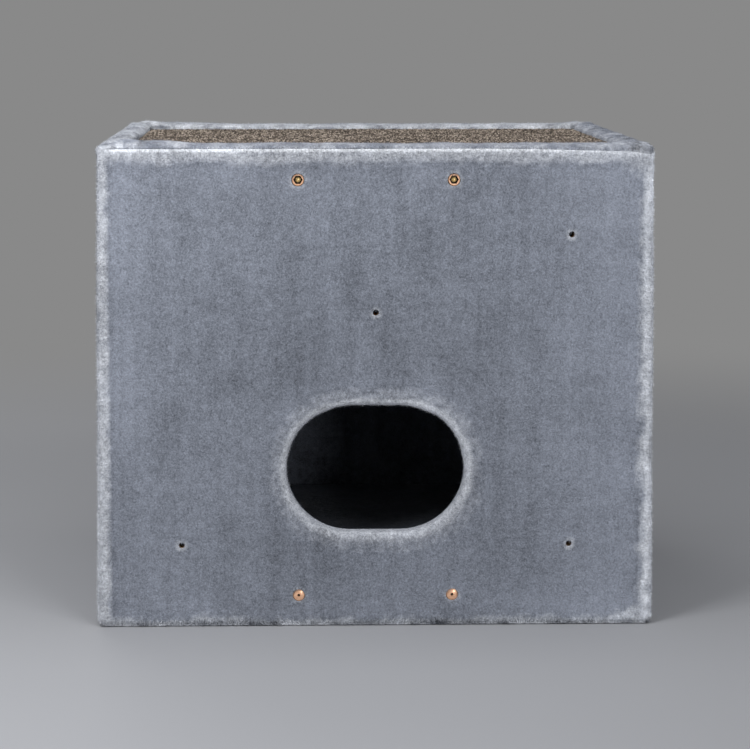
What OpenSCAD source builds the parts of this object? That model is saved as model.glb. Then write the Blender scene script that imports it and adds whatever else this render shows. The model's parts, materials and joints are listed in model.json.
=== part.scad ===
// Cat condo: a box of boards wrapped in plush, with a round-ended entrance, a recessed
// scratching mat and a rolled plush rim. The front faces -Y and the box stands on Z = 0.

/* [Overall] */
// Overall width across the plush
condo_w = 600; // [540:10:680]
// Overall depth across the plush
condo_d = 500; // [440:10:560]
// Overall height to the top of the rim
condo_h = 526; // [490:1:580]

/* [Boards] */
// Thickness of the wall boards and of the top board
board_t = 18; // [16:1:20]
// Thickness of the floor board
floor_t = 12; // [9:1:16]
// Side of the square battens
batten_s = 20; // [18:1:24]
// Height of the lower battens above the ground
batten_rise = 24; // [20:1:34]

/* [Plush] */
// Thickness of the outer plush, backing and pile
plush_t = 5; // [4:0.5:6]
// Thickness of the plush lining inside
lining_t = 4; // [3:0.5:5]
// Thickness of the hem pressed under the walls
hem_t = 3; // [2:0.5:4]
// Radius of the plush over the upright corners
corner_r = 9; // [6:0.5:12]
// Radius of the plush rolled over the rim
rim_r = 7; // [4:0.5:9]
// Thickness of the rim's roll inside the walls
rim_inner_t = 8; // [6:0.5:12]
// Depth of the fold between a cover and the rim, below the rim's top
fold_drop = 7; // [5:0.5:10]
// Length that the front and back covers wrap onto the sides
cover_return = 40; // [30:1:60]

/* [Entrance] */
// Clear width of the entrance
entrance_w = 194; // [176:2:220]
// Clear height of the entrance
entrance_h = 140; // [120:2:160]
// Height of the middle of the entrance above the ground
entrance_z = 173; // [165:1:190]
// Width of the plush lip on the front face
lip_w = 11; // [8:0.5:14]
// Radius of the lip where it turns into the entrance
lip_r = 6; // [3:0.5:8]

/* [Scratching top] */
// Thickness of the scratching mat
mat_t = 5; // [4:0.5:8]
// Depth of the mat's surface below the rim's top
mat_recess = 6; // [3:0.5:8]
// Gap between the mat and the rim
mat_gap = 0.5; // [0.3:0.1:0.9]

/* [Front fixings] */
// Distance between the two fixings of a row
fixing_pitch = 167; // [140:1:190]
// Diameter of the insert's flange
insert_flange_d = 13.2; // [12.8:0.1:15]
// Width across the flats of the insert's hexagon drive
insert_drive_w = 8.8; // [8:0.1:9]
// Diameter of the upper bolts
upper_bolt_d = 6; // [5:0.5:7]
// Diameter of the lower bolts' heads
lower_head_d = 12.6; // [11:0.1:15]
// Width across the flats of the lower bolts' sockets
lower_socket_w = 3; // [2.5:0.5:4]
// Diameter of the lower bolts
lower_bolt_d = 6; // [5:0.5:8]

/* [Plain holes] */
// Diameter of the plain drilled holes
hole_d = 7; // [5:0.5:9]
// Distance of the outer plain holes from the side of the condo
hole_inset = 89.5; // [75:0.5:105]
// Height of the lower plain holes above the ground
lower_hole_z = 90; // [80:1:100]
// Distance of the upper plain hole below the rim's top
upper_hole_drop = 98; // [85:1:110]
// Distance of the middle plain hole above the entrance
middle_hole_rise = 101; // [85:1:115]

/* [Hidden] */
$fn = 48;

// Cuts run past the faces that they open by this much
overrun = 1;
// Gap round boards that drop between others
drop_gap = 0.4;
// Gap round a shank in its hole, on the radius
shank_gap = 0.3;
// Gap between a thread and its nut, or a screw and its wood, on the radius
thread_gap = 0.05;
// Gap round a head, or a hole, in the plush, on the radius
plush_gap = 0.5;
// Extra radius of a plush dimple at the surface
dimple_flare = 1.5;
// Radius of the hem's outer lower edge
hem_r = 2;
// Radius of the floor cover's upper edges
floor_r = 4;

// Flanged inserts of the upper fixings
insert_flange_t = 2;
insert_barrel_d = 11.6;
insert_len = 15;
insert_drive_depth = 6;
insert_bevel = 0.6;

// Upper bolts, put in from inside, with washers
upper_tip_show = 4;
upper_tip_dome = 1.1;
upper_head_w = 10;
upper_head_t = 4;
washer_d = 14;
washer_t = 1.6;

// Lower bolts and nuts
lower_head_t = 3;
lower_head_dome = 1.2;
lower_socket_depth = 3.6;
lower_tip_past = 2;
nut_w = 10;
nut_t = 5;

// Countersunk screws
screw_head_d = 8;
screw_head_t = 3;
screw_d = 4;
screw_tip = 4;
carcass_screw_len = 50;
batten_screw_len = 32;
top_screw_len = 34;

// Places of the screws, as shares of the length that they are spread along
carcass_screw_shares = [0.16, 0.5, 0.84];
batten_screw_shares = [-0.32, 0.32];
top_front_screw_shares = [-0.42, 0, 0.42];
top_side_screw_shares = [-0.18, 0.18];

// Boards and the spaces between them
carcass_w = condo_w - 2 * plush_t;
carcass_d = condo_d - 2 * plush_t;
inner_w = carcass_w - 2 * board_t;
inner_d = carcass_d - 2 * board_t;
front_y = -carcass_d / 2;
inside_y = front_y + board_t;
wall_top_z = condo_h - plush_t;
wall_h = wall_top_z - hem_t;
rim_w = plush_t + board_t + rim_inner_t;
hem_w = board_t + 2 * plush_t;
fold_z = condo_h - fold_drop;

// Levels of the top and of the floor
mat_z = condo_h - mat_recess;
top_board_z = mat_z - mat_t;
upper_batten_z = top_board_z - board_t - batten_s;
floor_z = batten_rise + batten_s;
upper_fixing_z = upper_batten_z + batten_s / 2;
lower_fixing_z = batten_rise + batten_s / 2;

// Places of the plain holes on the front, as X and Z
hole_places = [
    [0, entrance_z + entrance_h / 2 + middle_hole_rise],
    [condo_w / 2 - hole_inset, condo_h - upper_hole_drop],
    [condo_w / 2 - hole_inset, lower_hole_z],
    [hole_inset - condo_w / 2, lower_hole_z],
];

plush_colour = [0.50, 0.53, 0.59];
lining_colour = [0.40, 0.43, 0.49];
board_colour = [0.78, 0.66, 0.48];
batten_colour = [0.86, 0.74, 0.54];
sisal_colour = [0.46, 0.42, 0.38];
copper_colour = [0.80, 0.48, 0.30];
yellow_colour = [0.86, 0.72, 0.36];
steel_colour = [0.70, 0.71, 0.73];

// Shared shapes

// A block between two opposite corners
module block(low, high) {
    translate(low) cube(high - low);
}

// A block centred on X and Y, between two levels
module level_block(w, d, low_z, high_z) {
    block([-w / 2, -d / 2, low_z], [w / 2, d / 2, high_z]);
}

// Turns an axis that runs up into one that runs from the front inward
module inward() {
    rotate([-90, 0, 0]) children();
}

// Puts a thing on the front board's outer face at X and Z, with its axis running inward
module on_front(x, z) {
    translate([x, front_y, z]) inward() children();
}

// A thing on each fixing of a row
module at_fixings(z) {
    for (side = [-1, 1]) {
        on_front(side * fixing_pitch / 2, z) children();
    }
}

// A hexagonal prism by its width across the flats
module hexagon(w, h) {
    cylinder(d = w / cos(30), h = h, $fn = 6);
}

// The round-ended outline of the entrance, grown on all sides
module entrance_outline(grow) {
    h = entrance_h + 2 * grow;
    straight = entrance_w - entrance_h;
    square([straight, h], center = true);
    for (side = [-1, 1]) {
        translate([side * straight / 2, 0]) circle(d = h);
    }
}

// A cut through the front along the entrance, between two depths from the board's outer face
module entrance_prism(grow, low, high) {
    on_front(0, entrance_z) translate([0, 0, low]) linear_extrude(high - low) entrance_outline(grow);
}

// Sweeps a section round the entrance: section X is the distance outward, section Y the depth
module entrance_sweep() {
    straight = entrance_w - entrance_h;
    on_front(0, entrance_z) {
        for (turn = [0, 180]) {
            rotate([0, 0, turn]) {
                translate([straight / 2, 0, 0]) rotate([0, 0, -90])
                    rotate_extrude(angle = 180) translate([entrance_h / 2, 0]) children();
                translate([-straight / 2, 0, 0]) rotate([90, 0, 90])
                    linear_extrude(straight) translate([entrance_h / 2, 0]) children();
            }
        }
    }
}

// An outline that stands on the X axis, with its two upper corners rounded
module rolled_outline(w, h, r) {
    translate([-w / 2, 0]) square([w, h - r]);
    translate([r - w / 2, 0]) square([w - 2 * r, h]);
    for (side = [-1, 1]) {
        translate([side * (w / 2 - r), h - r]) circle(r = r);
    }
}

// The plan of the plush, rounded at the upright corners, between two levels
module plush_plan(low_z, high_z) {
    translate([0, 0, low_z]) linear_extrude(high_z - low_z) {
        square([condo_w - 2 * corner_r, condo_d], center = true);
        square([condo_w, condo_d - 2 * corner_r], center = true);
        for (x = [-1, 1]) {
            for (y = [-1, 1]) {
                translate([x * (condo_w / 2 - corner_r), y * (condo_d / 2 - corner_r)]) circle(r = corner_r);
            }
        }
    }
}

// A strip along one wall, mitred at both ends: section X runs inward from the outer face and
// section Y runs up. The angle turns it from the front to another wall.
module mitred_strip(angle, w, low_z, high_z) {
    sideways = angle % 180 != 0;
    run = sideways ? condo_d : condo_w;
    reach = (sideways ? condo_w : condo_d) / 2;
    intersection() {
        rotate([0, 0, angle]) intersection() {
            translate([0, -reach, 0]) rotate([90, 0, 90]) linear_extrude(run, center = true) children();
            translate([0, -reach, low_z]) linear_extrude(high_z - low_z)
                polygon([[-run / 2, 0], [run / 2, 0], [run / 2 - w, w], [w - run / 2, w]]);
        }
        plush_plan(low_z, high_z);
    }
}

// Fasteners, each along an axis that runs up from its seat

// A countersunk screw, its head flush at the start; a gap makes it the cutter of its hole
module screw(length, gap) {
    head_r = screw_head_d / 2 + gap;
    shank_r = screw_d / 2 + gap;
    rotate_extrude() polygon([
        [0, 0], [head_r, 0], [shank_r, screw_head_t], [shank_r, length - screw_tip], [0, length + gap]
    ]);
}

// A flanged insert, its flange outside the seat
module insert() {
    difference() {
        rotate_extrude() polygon([
            [0, -insert_flange_t],
            [insert_flange_d / 2 - insert_bevel, -insert_flange_t],
            [insert_flange_d / 2, insert_bevel - insert_flange_t],
            [insert_flange_d / 2, 0],
            [insert_barrel_d / 2, 0],
            [insert_barrel_d / 2, insert_len],
            [0, insert_len]
        ]);
        translate([0, 0, -insert_flange_t - overrun])
            hexagon(insert_drive_w, insert_flange_t + insert_drive_depth + overrun);
        cylinder(r = upper_bolt_d / 2 + thread_gap, h = insert_len + overrun);
    }
}

// An upper bolt: its domed tip inside the insert's drive, its head behind the batten
module upper_bolt() {
    tip = insert_drive_depth - upper_tip_show;
    seat = board_t + batten_s + washer_t;
    bolt_r = upper_bolt_d / 2;
    dome_r = (bolt_r * bolt_r + upper_tip_dome * upper_tip_dome) / (2 * upper_tip_dome);
    rotate_extrude() {
        intersection() {
            translate([0, tip]) square([bolt_r, upper_tip_dome + overrun]);
            translate([0, tip + dome_r]) circle(r = dome_r, $fn = 96);
        }
        translate([0, tip + upper_tip_dome]) square([bolt_r, seat - tip - upper_tip_dome]);
    }
    translate([0, 0, seat]) hexagon(upper_head_w, upper_head_t);
}

// A lower bolt: its domed head outside the seat, its end past the nut
module lower_bolt() {
    length = board_t + batten_s + nut_t + lower_tip_past;
    head_r = lower_head_d / 2;
    dome_r = (head_r * head_r + lower_head_dome * lower_head_dome) / (2 * lower_head_dome);
    difference() {
        rotate_extrude() {
            intersection() {
                translate([0, -lower_head_t]) square([head_r, lower_head_t]);
                translate([0, dome_r - lower_head_t]) circle(r = dome_r, $fn = 96);
            }
            square([lower_bolt_d / 2, length]);
        }
        translate([0, 0, -lower_head_t - overrun]) hexagon(lower_socket_w, lower_socket_depth + overrun);
    }
}

// Places of the screws

module at_front_carcass_screws() {
    for (side = [-1, 1]) {
        for (share = carcass_screw_shares) {
            on_front(side * (inner_w + board_t) / 2, hem_t + share * wall_h) children();
        }
    }
}

module at_back_carcass_screws() {
    rotate([0, 0, 180]) at_front_carcass_screws() children();
}

// Along the inner face of a wall's battens, outward through them
module at_batten_screws(angle, reach, run) {
    for (z = [lower_fixing_z, upper_fixing_z]) {
        for (share = batten_screw_shares) {
            rotate([0, 0, angle]) translate([share * run, batten_s - reach, z]) rotate([90, 0, 0]) children();
        }
    }
}

module at_back_batten_screws() {
    at_batten_screws(180, inner_d / 2, inner_w) children();
}

module at_side_batten_screws() {
    for (angle = [90, 270]) {
        at_batten_screws(angle, inner_w / 2, inner_d) children();
    }
}

// Down through the top board into the middle of each batten
module at_top_screws() {
    middle = batten_s / 2;
    for (side = [-1, 1]) {
        for (share = top_front_screw_shares) {
            translate([share * inner_w, side * (inner_d / 2 - middle), top_board_z]) rotate([180, 0, 0]) children();
        }
        for (share = top_side_screw_shares) {
            translate([side * (inner_w / 2 - middle), share * inner_d, top_board_z]) rotate([180, 0, 0]) children();
        }
    }
}

// The four plain holes, wider by a gap where plush hangs over them
module plain_holes(gap, low, high) {
    for (place = hole_places) {
        on_front(place[0], place[1]) translate([0, 0, low]) cylinder(d = hole_d + 2 * gap, h = high - low);
    }
}

// Boards

module front_panel() {
    color(board_colour) difference() {
        block([-carcass_w / 2, front_y, hem_t], [carcass_w / 2, inside_y, wall_top_z]);
        entrance_prism(plush_t, -overrun, board_t + overrun);
        plain_holes(0, -overrun, board_t + overrun);
        at_fixings(upper_fixing_z) cylinder(r = insert_barrel_d / 2 + thread_gap, h = insert_len);
        at_fixings(upper_fixing_z) cylinder(r = upper_bolt_d / 2 + shank_gap, h = board_t + overrun);
        at_fixings(lower_fixing_z) cylinder(r = lower_bolt_d / 2 + shank_gap, h = board_t + overrun);
        at_front_carcass_screws() screw(carcass_screw_len, thread_gap);
    }
}

module back_panel() {
    color(board_colour) difference() {
        rotate([0, 0, 180]) block([-carcass_w / 2, front_y, hem_t], [carcass_w / 2, inside_y, wall_top_z]);
        at_back_carcass_screws() screw(carcass_screw_len, thread_gap);
        at_back_batten_screws() screw(batten_screw_len, thread_gap);
    }
}

module side_panel(side) {
    color(board_colour) difference() {
        translate([side * (inner_w + board_t) / 2, 0, 0]) level_block(board_t, inner_d, hem_t, wall_top_z);
        at_front_carcass_screws() screw(carcass_screw_len, thread_gap);
        at_back_carcass_screws() screw(carcass_screw_len, thread_gap);
        at_side_batten_screws() screw(batten_screw_len, thread_gap);
    }
}

module left_panel() { side_panel(-1); }

module right_panel() { side_panel(1); }

module top_panel() {
    color(board_colour) difference() {
        level_block(inner_w - 2 * drop_gap, inner_d - 2 * drop_gap, top_board_z - board_t, top_board_z);
        at_top_screws() screw(top_screw_len, thread_gap);
    }
}

module floor_panel() {
    edge = lining_t + drop_gap + plush_t;
    color(board_colour) level_block(inner_w - 2 * edge, inner_d - 2 * edge, floor_z, floor_z + floor_t);
}

// Battens: those on the front and back run the whole width, the others between them

module long_batten(side, z) {
    translate([0, side * (inner_d - batten_s) / 2, 0]) level_block(inner_w, batten_s, z, z + batten_s);
}

module short_batten(side, z) {
    translate([side * (inner_w - batten_s) / 2, 0, 0])
        level_block(batten_s, inner_d - 2 * batten_s, z, z + batten_s);
}

module upper_front_batten() {
    color(batten_colour) difference() {
        long_batten(-1, upper_batten_z);
        at_fixings(upper_fixing_z) cylinder(r = upper_bolt_d / 2 + shank_gap, h = board_t + batten_s + overrun);
        at_top_screws() screw(top_screw_len, thread_gap);
    }
}

module upper_back_batten() {
    color(batten_colour) difference() {
        long_batten(1, upper_batten_z);
        at_back_batten_screws() screw(batten_screw_len, thread_gap);
        at_top_screws() screw(top_screw_len, thread_gap);
    }
}

module upper_side_batten(side) {
    color(batten_colour) difference() {
        short_batten(side, upper_batten_z);
        at_side_batten_screws() screw(batten_screw_len, thread_gap);
        at_top_screws() screw(top_screw_len, thread_gap);
    }
}

module upper_left_batten() { upper_side_batten(-1); }

module upper_right_batten() { upper_side_batten(1); }

module lower_front_batten() {
    color(batten_colour) difference() {
        long_batten(-1, batten_rise);
        at_fixings(lower_fixing_z) cylinder(r = lower_bolt_d / 2 + shank_gap, h = board_t + batten_s + overrun);
    }
}

module lower_back_batten() {
    color(batten_colour) difference() {
        long_batten(1, batten_rise);
        at_back_batten_screws() screw(batten_screw_len, thread_gap);
    }
}

module lower_side_batten(side) {
    color(batten_colour) difference() {
        short_batten(side, batten_rise);
        at_side_batten_screws() screw(batten_screw_len, thread_gap);
    }
}

module lower_left_batten() { lower_side_batten(-1); }

module lower_right_batten() { lower_side_batten(1); }

// Outer plush

// The plush outside the walls, from the hem to the fold below the rim
module plush_tube() {
    difference() {
        plush_plan(hem_t, fold_z);
        level_block(carcass_w, carcass_d, hem_t - overrun, fold_z + overrun);
    }
}

// A dimple round a fixing, from the board's face out through the plush
module dimple(d) {
    r = d / 2 + plush_gap;
    translate([0, 0, -plush_t - overrun]) cylinder(r = r, h = plush_t + 2 * overrun);
    translate([0, 0, -plush_t]) cylinder(r1 = r + dimple_flare, r2 = r, h = plush_t / 2);
}

module front_cover() {
    color(plush_colour) difference() {
        plush_tube();
        block([-condo_w, cover_return - condo_d / 2, 0], [condo_w, condo_d, condo_h]);
        entrance_prism(lip_w, -plush_t - overrun, overrun);
        plain_holes(plush_gap, -plush_t - overrun, overrun);
        at_fixings(upper_fixing_z) dimple(insert_flange_d);
        at_fixings(lower_fixing_z) dimple(lower_head_d);
    }
}

module back_cover() {
    color(plush_colour) difference() {
        plush_tube();
        block([-condo_w, -condo_d, 0], [condo_w, condo_d / 2 - cover_return, condo_h]);
    }
}

module side_cover(side) {
    color(plush_colour) intersection() {
        plush_tube();
        translate([side * condo_w / 2, 0, 0]) level_block(condo_w, condo_d - 2 * cover_return, 0, condo_h);
    }
}

module left_cover() { side_cover(-1); }

module right_cover() { side_cover(1); }

// The lip's section: a roll on the front face and a sleeve through the board
module lip_section() {
    difference() {
        union() {
            translate([0, -plush_t]) square([lip_w, plush_t]);
            translate([0, -plush_t]) square([plush_t, plush_t + board_t]);
        }
        translate([-overrun, -plush_t - overrun]) square([lip_r + overrun, lip_r + overrun]);
    }
    translate([lip_r, lip_r - plush_t]) intersection() {
        circle(r = lip_r);
        translate([-lip_r, -lip_r]) square([lip_r, lip_r]);
    }
}

module entrance_lip() {
    color(plush_colour) entrance_sweep() lip_section();
}

// The rim's section: a roll over the wall's top, with an inner leg down to the top board
module rim_section() {
    difference() {
        translate([rim_w / 2, top_board_z]) rolled_outline(rim_w, condo_h - top_board_z, rim_r);
        translate([plush_t, 0]) square([board_t, wall_top_z]);
        translate([-overrun, 0]) square([plush_t + overrun, fold_z]);
    }
}

module rim(angle) {
    color(plush_colour) mitred_strip(angle, rim_w, top_board_z, condo_h) rim_section();
}

module front_rim() { rim(0); }

module right_rim() { rim(90); }

module back_rim() { rim(180); }

module left_rim() { rim(270); }

// The hem's section: a fold under the wall and the cover, with an inner leg up to the batten
module hem_section() {
    difference() {
        union() {
            square([hem_w, hem_t]);
            translate([plush_t + board_t, 0]) square([plush_t, batten_rise]);
        }
        difference() {
            translate([-overrun, -overrun]) square(hem_r + overrun);
            translate([hem_r, hem_r]) circle(r = hem_r);
        }
    }
}

module hem(angle) {
    color(plush_colour) mitred_strip(angle, hem_w, 0, batten_rise) hem_section();
}

module front_hem() { hem(0); }

module right_hem() { hem(90); }

module back_hem() { hem(180); }

module left_hem() { hem(270); }

// Lining, floor cover and mat

module wall_lining(side) {
    translate([0, side * (inner_d - lining_t) / 2, 0]) level_block(inner_w, lining_t, floor_z, upper_batten_z);
}

module front_lining() {
    color(lining_colour) difference() {
        wall_lining(-1);
        entrance_prism(0, board_t - overrun, board_t + lining_t + overrun);
        plain_holes(plush_gap, board_t - overrun, board_t + lining_t + overrun);
    }
}

module back_lining() {
    color(lining_colour) wall_lining(1);
}

module side_lining(side) {
    color(lining_colour) translate([side * (inner_w - lining_t) / 2, 0, 0])
        level_block(lining_t, inner_d - 2 * lining_t, floor_z, upper_batten_z);
}

module left_lining() { side_lining(-1); }

module right_lining() { side_lining(1); }

module floor_cover() {
    edge = lining_t + drop_gap;
    w = inner_w - 2 * edge;
    d = inner_d - 2 * edge;
    h = floor_t + plush_t;
    color(lining_colour) difference() {
        translate([0, 0, floor_z]) intersection() {
            rotate([90, 0, 0]) linear_extrude(d, center = true) rolled_outline(w, h, floor_r);
            rotate([90, 0, 90]) linear_extrude(w, center = true) rolled_outline(d, h, floor_r);
        }
        level_block(w - 2 * plush_t, d - 2 * plush_t, floor_z - overrun, floor_z + floor_t);
    }
}

module scratch_mat() {
    edge = rim_inner_t + mat_gap;
    color(sisal_colour) level_block(inner_w - 2 * edge, inner_d - 2 * edge, top_board_z, mat_z);
}

// Fixings and screws

module upper_inserts() {
    color(copper_colour) at_fixings(upper_fixing_z) insert();
}

module upper_bolts() {
    color(yellow_colour) at_fixings(upper_fixing_z) upper_bolt();
}

module upper_washers() {
    color(steel_colour) at_fixings(upper_fixing_z) translate([0, 0, board_t + batten_s]) difference() {
        cylinder(d = washer_d, h = washer_t);
        translate([0, 0, -overrun]) cylinder(r = upper_bolt_d / 2 + shank_gap, h = washer_t + 2 * overrun);
    }
}

module lower_bolts() {
    color(copper_colour) at_fixings(lower_fixing_z) lower_bolt();
}

module lower_nuts() {
    color(steel_colour) at_fixings(lower_fixing_z) translate([0, 0, board_t + batten_s]) difference() {
        hexagon(nut_w, nut_t);
        translate([0, 0, -overrun]) cylinder(r = lower_bolt_d / 2 + thread_gap, h = nut_t + 2 * overrun);
    }
}

module front_carcass_screws() {
    color(yellow_colour) at_front_carcass_screws() screw(carcass_screw_len, 0);
}

module back_carcass_screws() {
    color(yellow_colour) at_back_carcass_screws() screw(carcass_screw_len, 0);
}

module back_batten_screws() {
    color(yellow_colour) at_back_batten_screws() screw(batten_screw_len, 0);
}

module side_batten_screws() {
    color(yellow_colour) at_side_batten_screws() screw(batten_screw_len, 0);
}

module top_screws() {
    color(yellow_colour) at_top_screws() screw(top_screw_len, 0);
}

front_panel();
back_panel();
left_panel();
right_panel();
top_panel();
floor_panel();
upper_front_batten();
upper_back_batten();
upper_left_batten();
upper_right_batten();
lower_front_batten();
lower_back_batten();
lower_left_batten();
lower_right_batten();
front_cover();
back_cover();
left_cover();
right_cover();
entrance_lip();
front_rim();
back_rim();
left_rim();
right_rim();
front_hem();
back_hem();
left_hem();
right_hem();
front_lining();
back_lining();
left_lining();
right_lining();
floor_cover();
scratch_mat();
upper_inserts();
upper_bolts();
upper_washers();
lower_bolts();
lower_nuts();
front_carcass_screws();
back_carcass_screws();
back_batten_screws();
side_batten_screws();
top_screws();
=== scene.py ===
"""Looks of a plush-covered cat condo: covers, rim, mat, lining, fittings, floor, lights and camera."""
import json
import math
from functools import partial
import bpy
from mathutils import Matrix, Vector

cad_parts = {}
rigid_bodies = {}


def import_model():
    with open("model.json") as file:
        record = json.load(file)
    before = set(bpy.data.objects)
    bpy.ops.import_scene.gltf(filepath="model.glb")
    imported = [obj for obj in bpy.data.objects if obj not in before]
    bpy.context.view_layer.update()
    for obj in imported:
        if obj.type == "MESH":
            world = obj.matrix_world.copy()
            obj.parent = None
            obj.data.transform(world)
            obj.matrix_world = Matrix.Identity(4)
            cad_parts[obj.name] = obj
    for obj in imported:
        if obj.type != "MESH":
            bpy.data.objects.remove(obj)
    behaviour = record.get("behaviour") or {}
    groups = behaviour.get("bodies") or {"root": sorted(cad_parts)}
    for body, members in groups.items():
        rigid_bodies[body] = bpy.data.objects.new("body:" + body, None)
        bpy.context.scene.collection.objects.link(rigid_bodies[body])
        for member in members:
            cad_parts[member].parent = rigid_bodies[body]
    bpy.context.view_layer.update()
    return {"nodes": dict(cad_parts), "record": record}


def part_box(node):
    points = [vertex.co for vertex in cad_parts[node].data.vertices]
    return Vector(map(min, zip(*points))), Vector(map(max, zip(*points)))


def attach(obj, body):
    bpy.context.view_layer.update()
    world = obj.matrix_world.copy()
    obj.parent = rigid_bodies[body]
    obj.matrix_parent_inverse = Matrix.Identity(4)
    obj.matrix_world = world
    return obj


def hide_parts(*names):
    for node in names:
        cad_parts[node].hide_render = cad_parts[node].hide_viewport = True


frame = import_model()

from types import SimpleNamespace

import bmesh
import bpy
from bpy.props import FloatProperty, FloatVectorProperty, PointerProperty
from bpy.types import NodeSocket, Operator, Panel, PropertyGroup
from mathutils import Vector, noise

bl_info = {
    "name": "Cat Condo",
    "version": (1, 0, 0),
    "blender": (4, 5, 0),
    "location": "3D View > Sidebar > Condo",
    "description": "Plush covers, scratching mat, lining, fittings and studio of a cat condo",
    "category": "Object",
}

SIDES = ("front", "right", "back", "left")
UP = Vector((0.0, 0.0, 1.0))
# Share of a side's run that each of its two half corners takes
CORNER_SHARE = 0.02
STRAIGHT_SHARE = 1.0 - 2.0 * CORNER_SHARE
# Angle between faces, in degrees, from which an edge stays sharp
SHARP = 50.0
# How far cutters reach past the cloth that they cut
PAST = 0.02
# Mesh spacing and unevenness of the linings
LINING_STEP = 0.012
LINING_SWELL = 0.0006
# Soft patches of the front, darker, or paler below 0, partly brushed pile and partly painted light and shade:
# amount, x, z, reach in x and reach in z
BRUSHING_AND_SHADE = (
    (-1.25, 0.300, 0.45, 0.100, 0.10),
    (-0.35, 0.300, 0.27, 0.080, 0.10),
    (-0.65, 0.220, 0.02, 0.090, 0.03),
    (-0.55, -0.300, 0.02, 0.090, 0.03),
    (-0.75, -0.300, 0.38, 0.050, 0.13),
    (0.28, -0.160, 0.27, 0.080, 0.13),
    (0.30, -0.200, 0.12, 0.060, 0.06),
    (0.22, 0.000, 0.33, 0.120, 0.08),
    (0.42, 0.135, 0.14, 0.045, 0.06),
)


def number(name, description, default, **settings):
    """A number that a user may change."""
    return FloatProperty(name=name, description=description, default=default, **settings)


def length(name, description, default):
    """A length in metres."""
    return number(name, description, default, min=0.0, precision=4, unit="LENGTH", subtype="DISTANCE")


def colour(name, description, default):
    """A linear colour that a user may change."""
    return FloatVectorProperty(
        name=name, description=description, default=default, size=3, min=0.0, max=1.0, subtype="COLOR"
    )


class CondoPlush(PropertyGroup):
    """Cloth and pile of the outside and of the lining."""

    face: colour("Face", "Brushed-down pile on the faces", (0.164, 0.179, 0.214))
    # The edge colour is the pale of opened pile and partly painted light, raised to stand in for the sheen of
    # edges and for light lost in the strands' shade.
    edge: colour("Edge", "Opened pile along edges, rim and entrance", (0.63, 0.65, 0.69))
    # The lining is darker than the face as painted shade inside the box.
    lining: colour("Lining", "Pile inside the box", (0.135, 0.149, 0.184))
    corner_radius: length("Corner radius", "Roundness of the upright corners", 0.010)
    grid: length("Grid", "Spacing of the mesh on the covers", 0.005)
    pile_length: length("Pile length", "Mean length of a strand", 0.0040)
    backing: length("Backing depth", "How far the cloth under the pile lies inside the faces", 0.0014)
    face_density: number("Face density", "Strands per square metre on the faces", 420000.0, min=0.0)
    edge_density: number("Edge density", "Strands per square metre of opened pile", 600000.0, min=0.0)


class CondoEntrance(PropertyGroup):
    """Round-ended entrance and the lip rolled through it."""

    lip_width: length("Lip width", "Width of the lip beyond the clear opening", 0.011)
    lip_radius: length("Lip radius", "Roll of the lip at the front", 0.007)


class CondoMat(PropertyGroup):
    """Scratching mat of rows of stitches."""

    pitch: length("Pitch", "Spacing of the stitches in a row", 0.0026)
    row: length("Row", "Spacing of the rows of stitches", 0.0047)
    loop_height: length("Loop height", "Height of a stitch above the backing", 0.0034)
    dark: colour("Dark fibre", "Darkest stitches", (0.017, 0.012, 0.009))
    middle: colour("Middle fibre", "Most of the stitches", (0.076, 0.059, 0.046))
    pale: colour("Pale fibre", "Palest stitches", (0.40, 0.34, 0.285))


class CondoFittings(PropertyGroup):
    """Boards, battens, bolts and screws."""

    copper: colour("Copper", "Plating of the inserts and lower bolts", (0.84, 0.50, 0.32))
    yellow: colour("Yellow steel", "Passivated bolts and screws", (0.80, 0.60, 0.26))
    zinc: colour("Zinc", "Washers and nuts", (0.60, 0.61, 0.63))
    chip: colour("Chipboard", "Raw wall, top and floor boards", (0.52, 0.36, 0.21))
    softwood: colour("Softwood", "Planed battens", (0.66, 0.47, 0.27))
    staple_pitch: length("Staple pitch", "Spacing of the staples in the hems", 0.055)


class CondoStage(PropertyGroup):
    """Floor, lights and camera."""

    floor: colour("Floor", "Pale floor", (0.284, 0.290, 0.309))
    backdrop: colour("Backdrop", "Plain background above the floor", (0.25, 0.25, 0.25))
    floor_reach: length("Floor reach", "Distance from the box at which the floor starts to run out", 0.80)
    key: number("Key light", "Power of the large light at the front right", 48.5)
    fill: number("Fill light", "Power of the light at the upper left", 16.5)
    top: number("Top light", "Power of the light overhead", 27.0)
    ambient: number("Ambient", "Strength of the even light from all round", 0.23)
    low: number("Low light", "Power of the low light that reaches inside", 8.5)
    back: number("Back light", "Power of the light behind the box", 14.0)
    camera_place: FloatVectorProperty(
        name="Camera place",
        description="Where the camera stands",
        default=(-0.0932, -2.6913, 0.6554),
        unit="LENGTH",
    )
    camera_turn: number("Camera turn", "Turn to the right", 0.0248, unit="ROTATION", subtype="ANGLE")
    camera_tilt: number("Camera tilt", "Tilt below the horizon", 0.1144, unit="ROTATION", subtype="ANGLE")
    camera_lens: number("Lens", "Focal length in millimetres", 110.07)
    camera_shift: number("Shift", "Vertical shift of the image", -0.12)
    camera_side: number("Side shift", "Sideways shift of the image", 0.0392)


SETTINGS = {
    "condo_plush": CondoPlush,
    "condo_entrance": CondoEntrance,
    "condo_mat": CondoMat,
    "condo_fittings": CondoFittings,
    "condo_stage": CondoStage,
}


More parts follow.
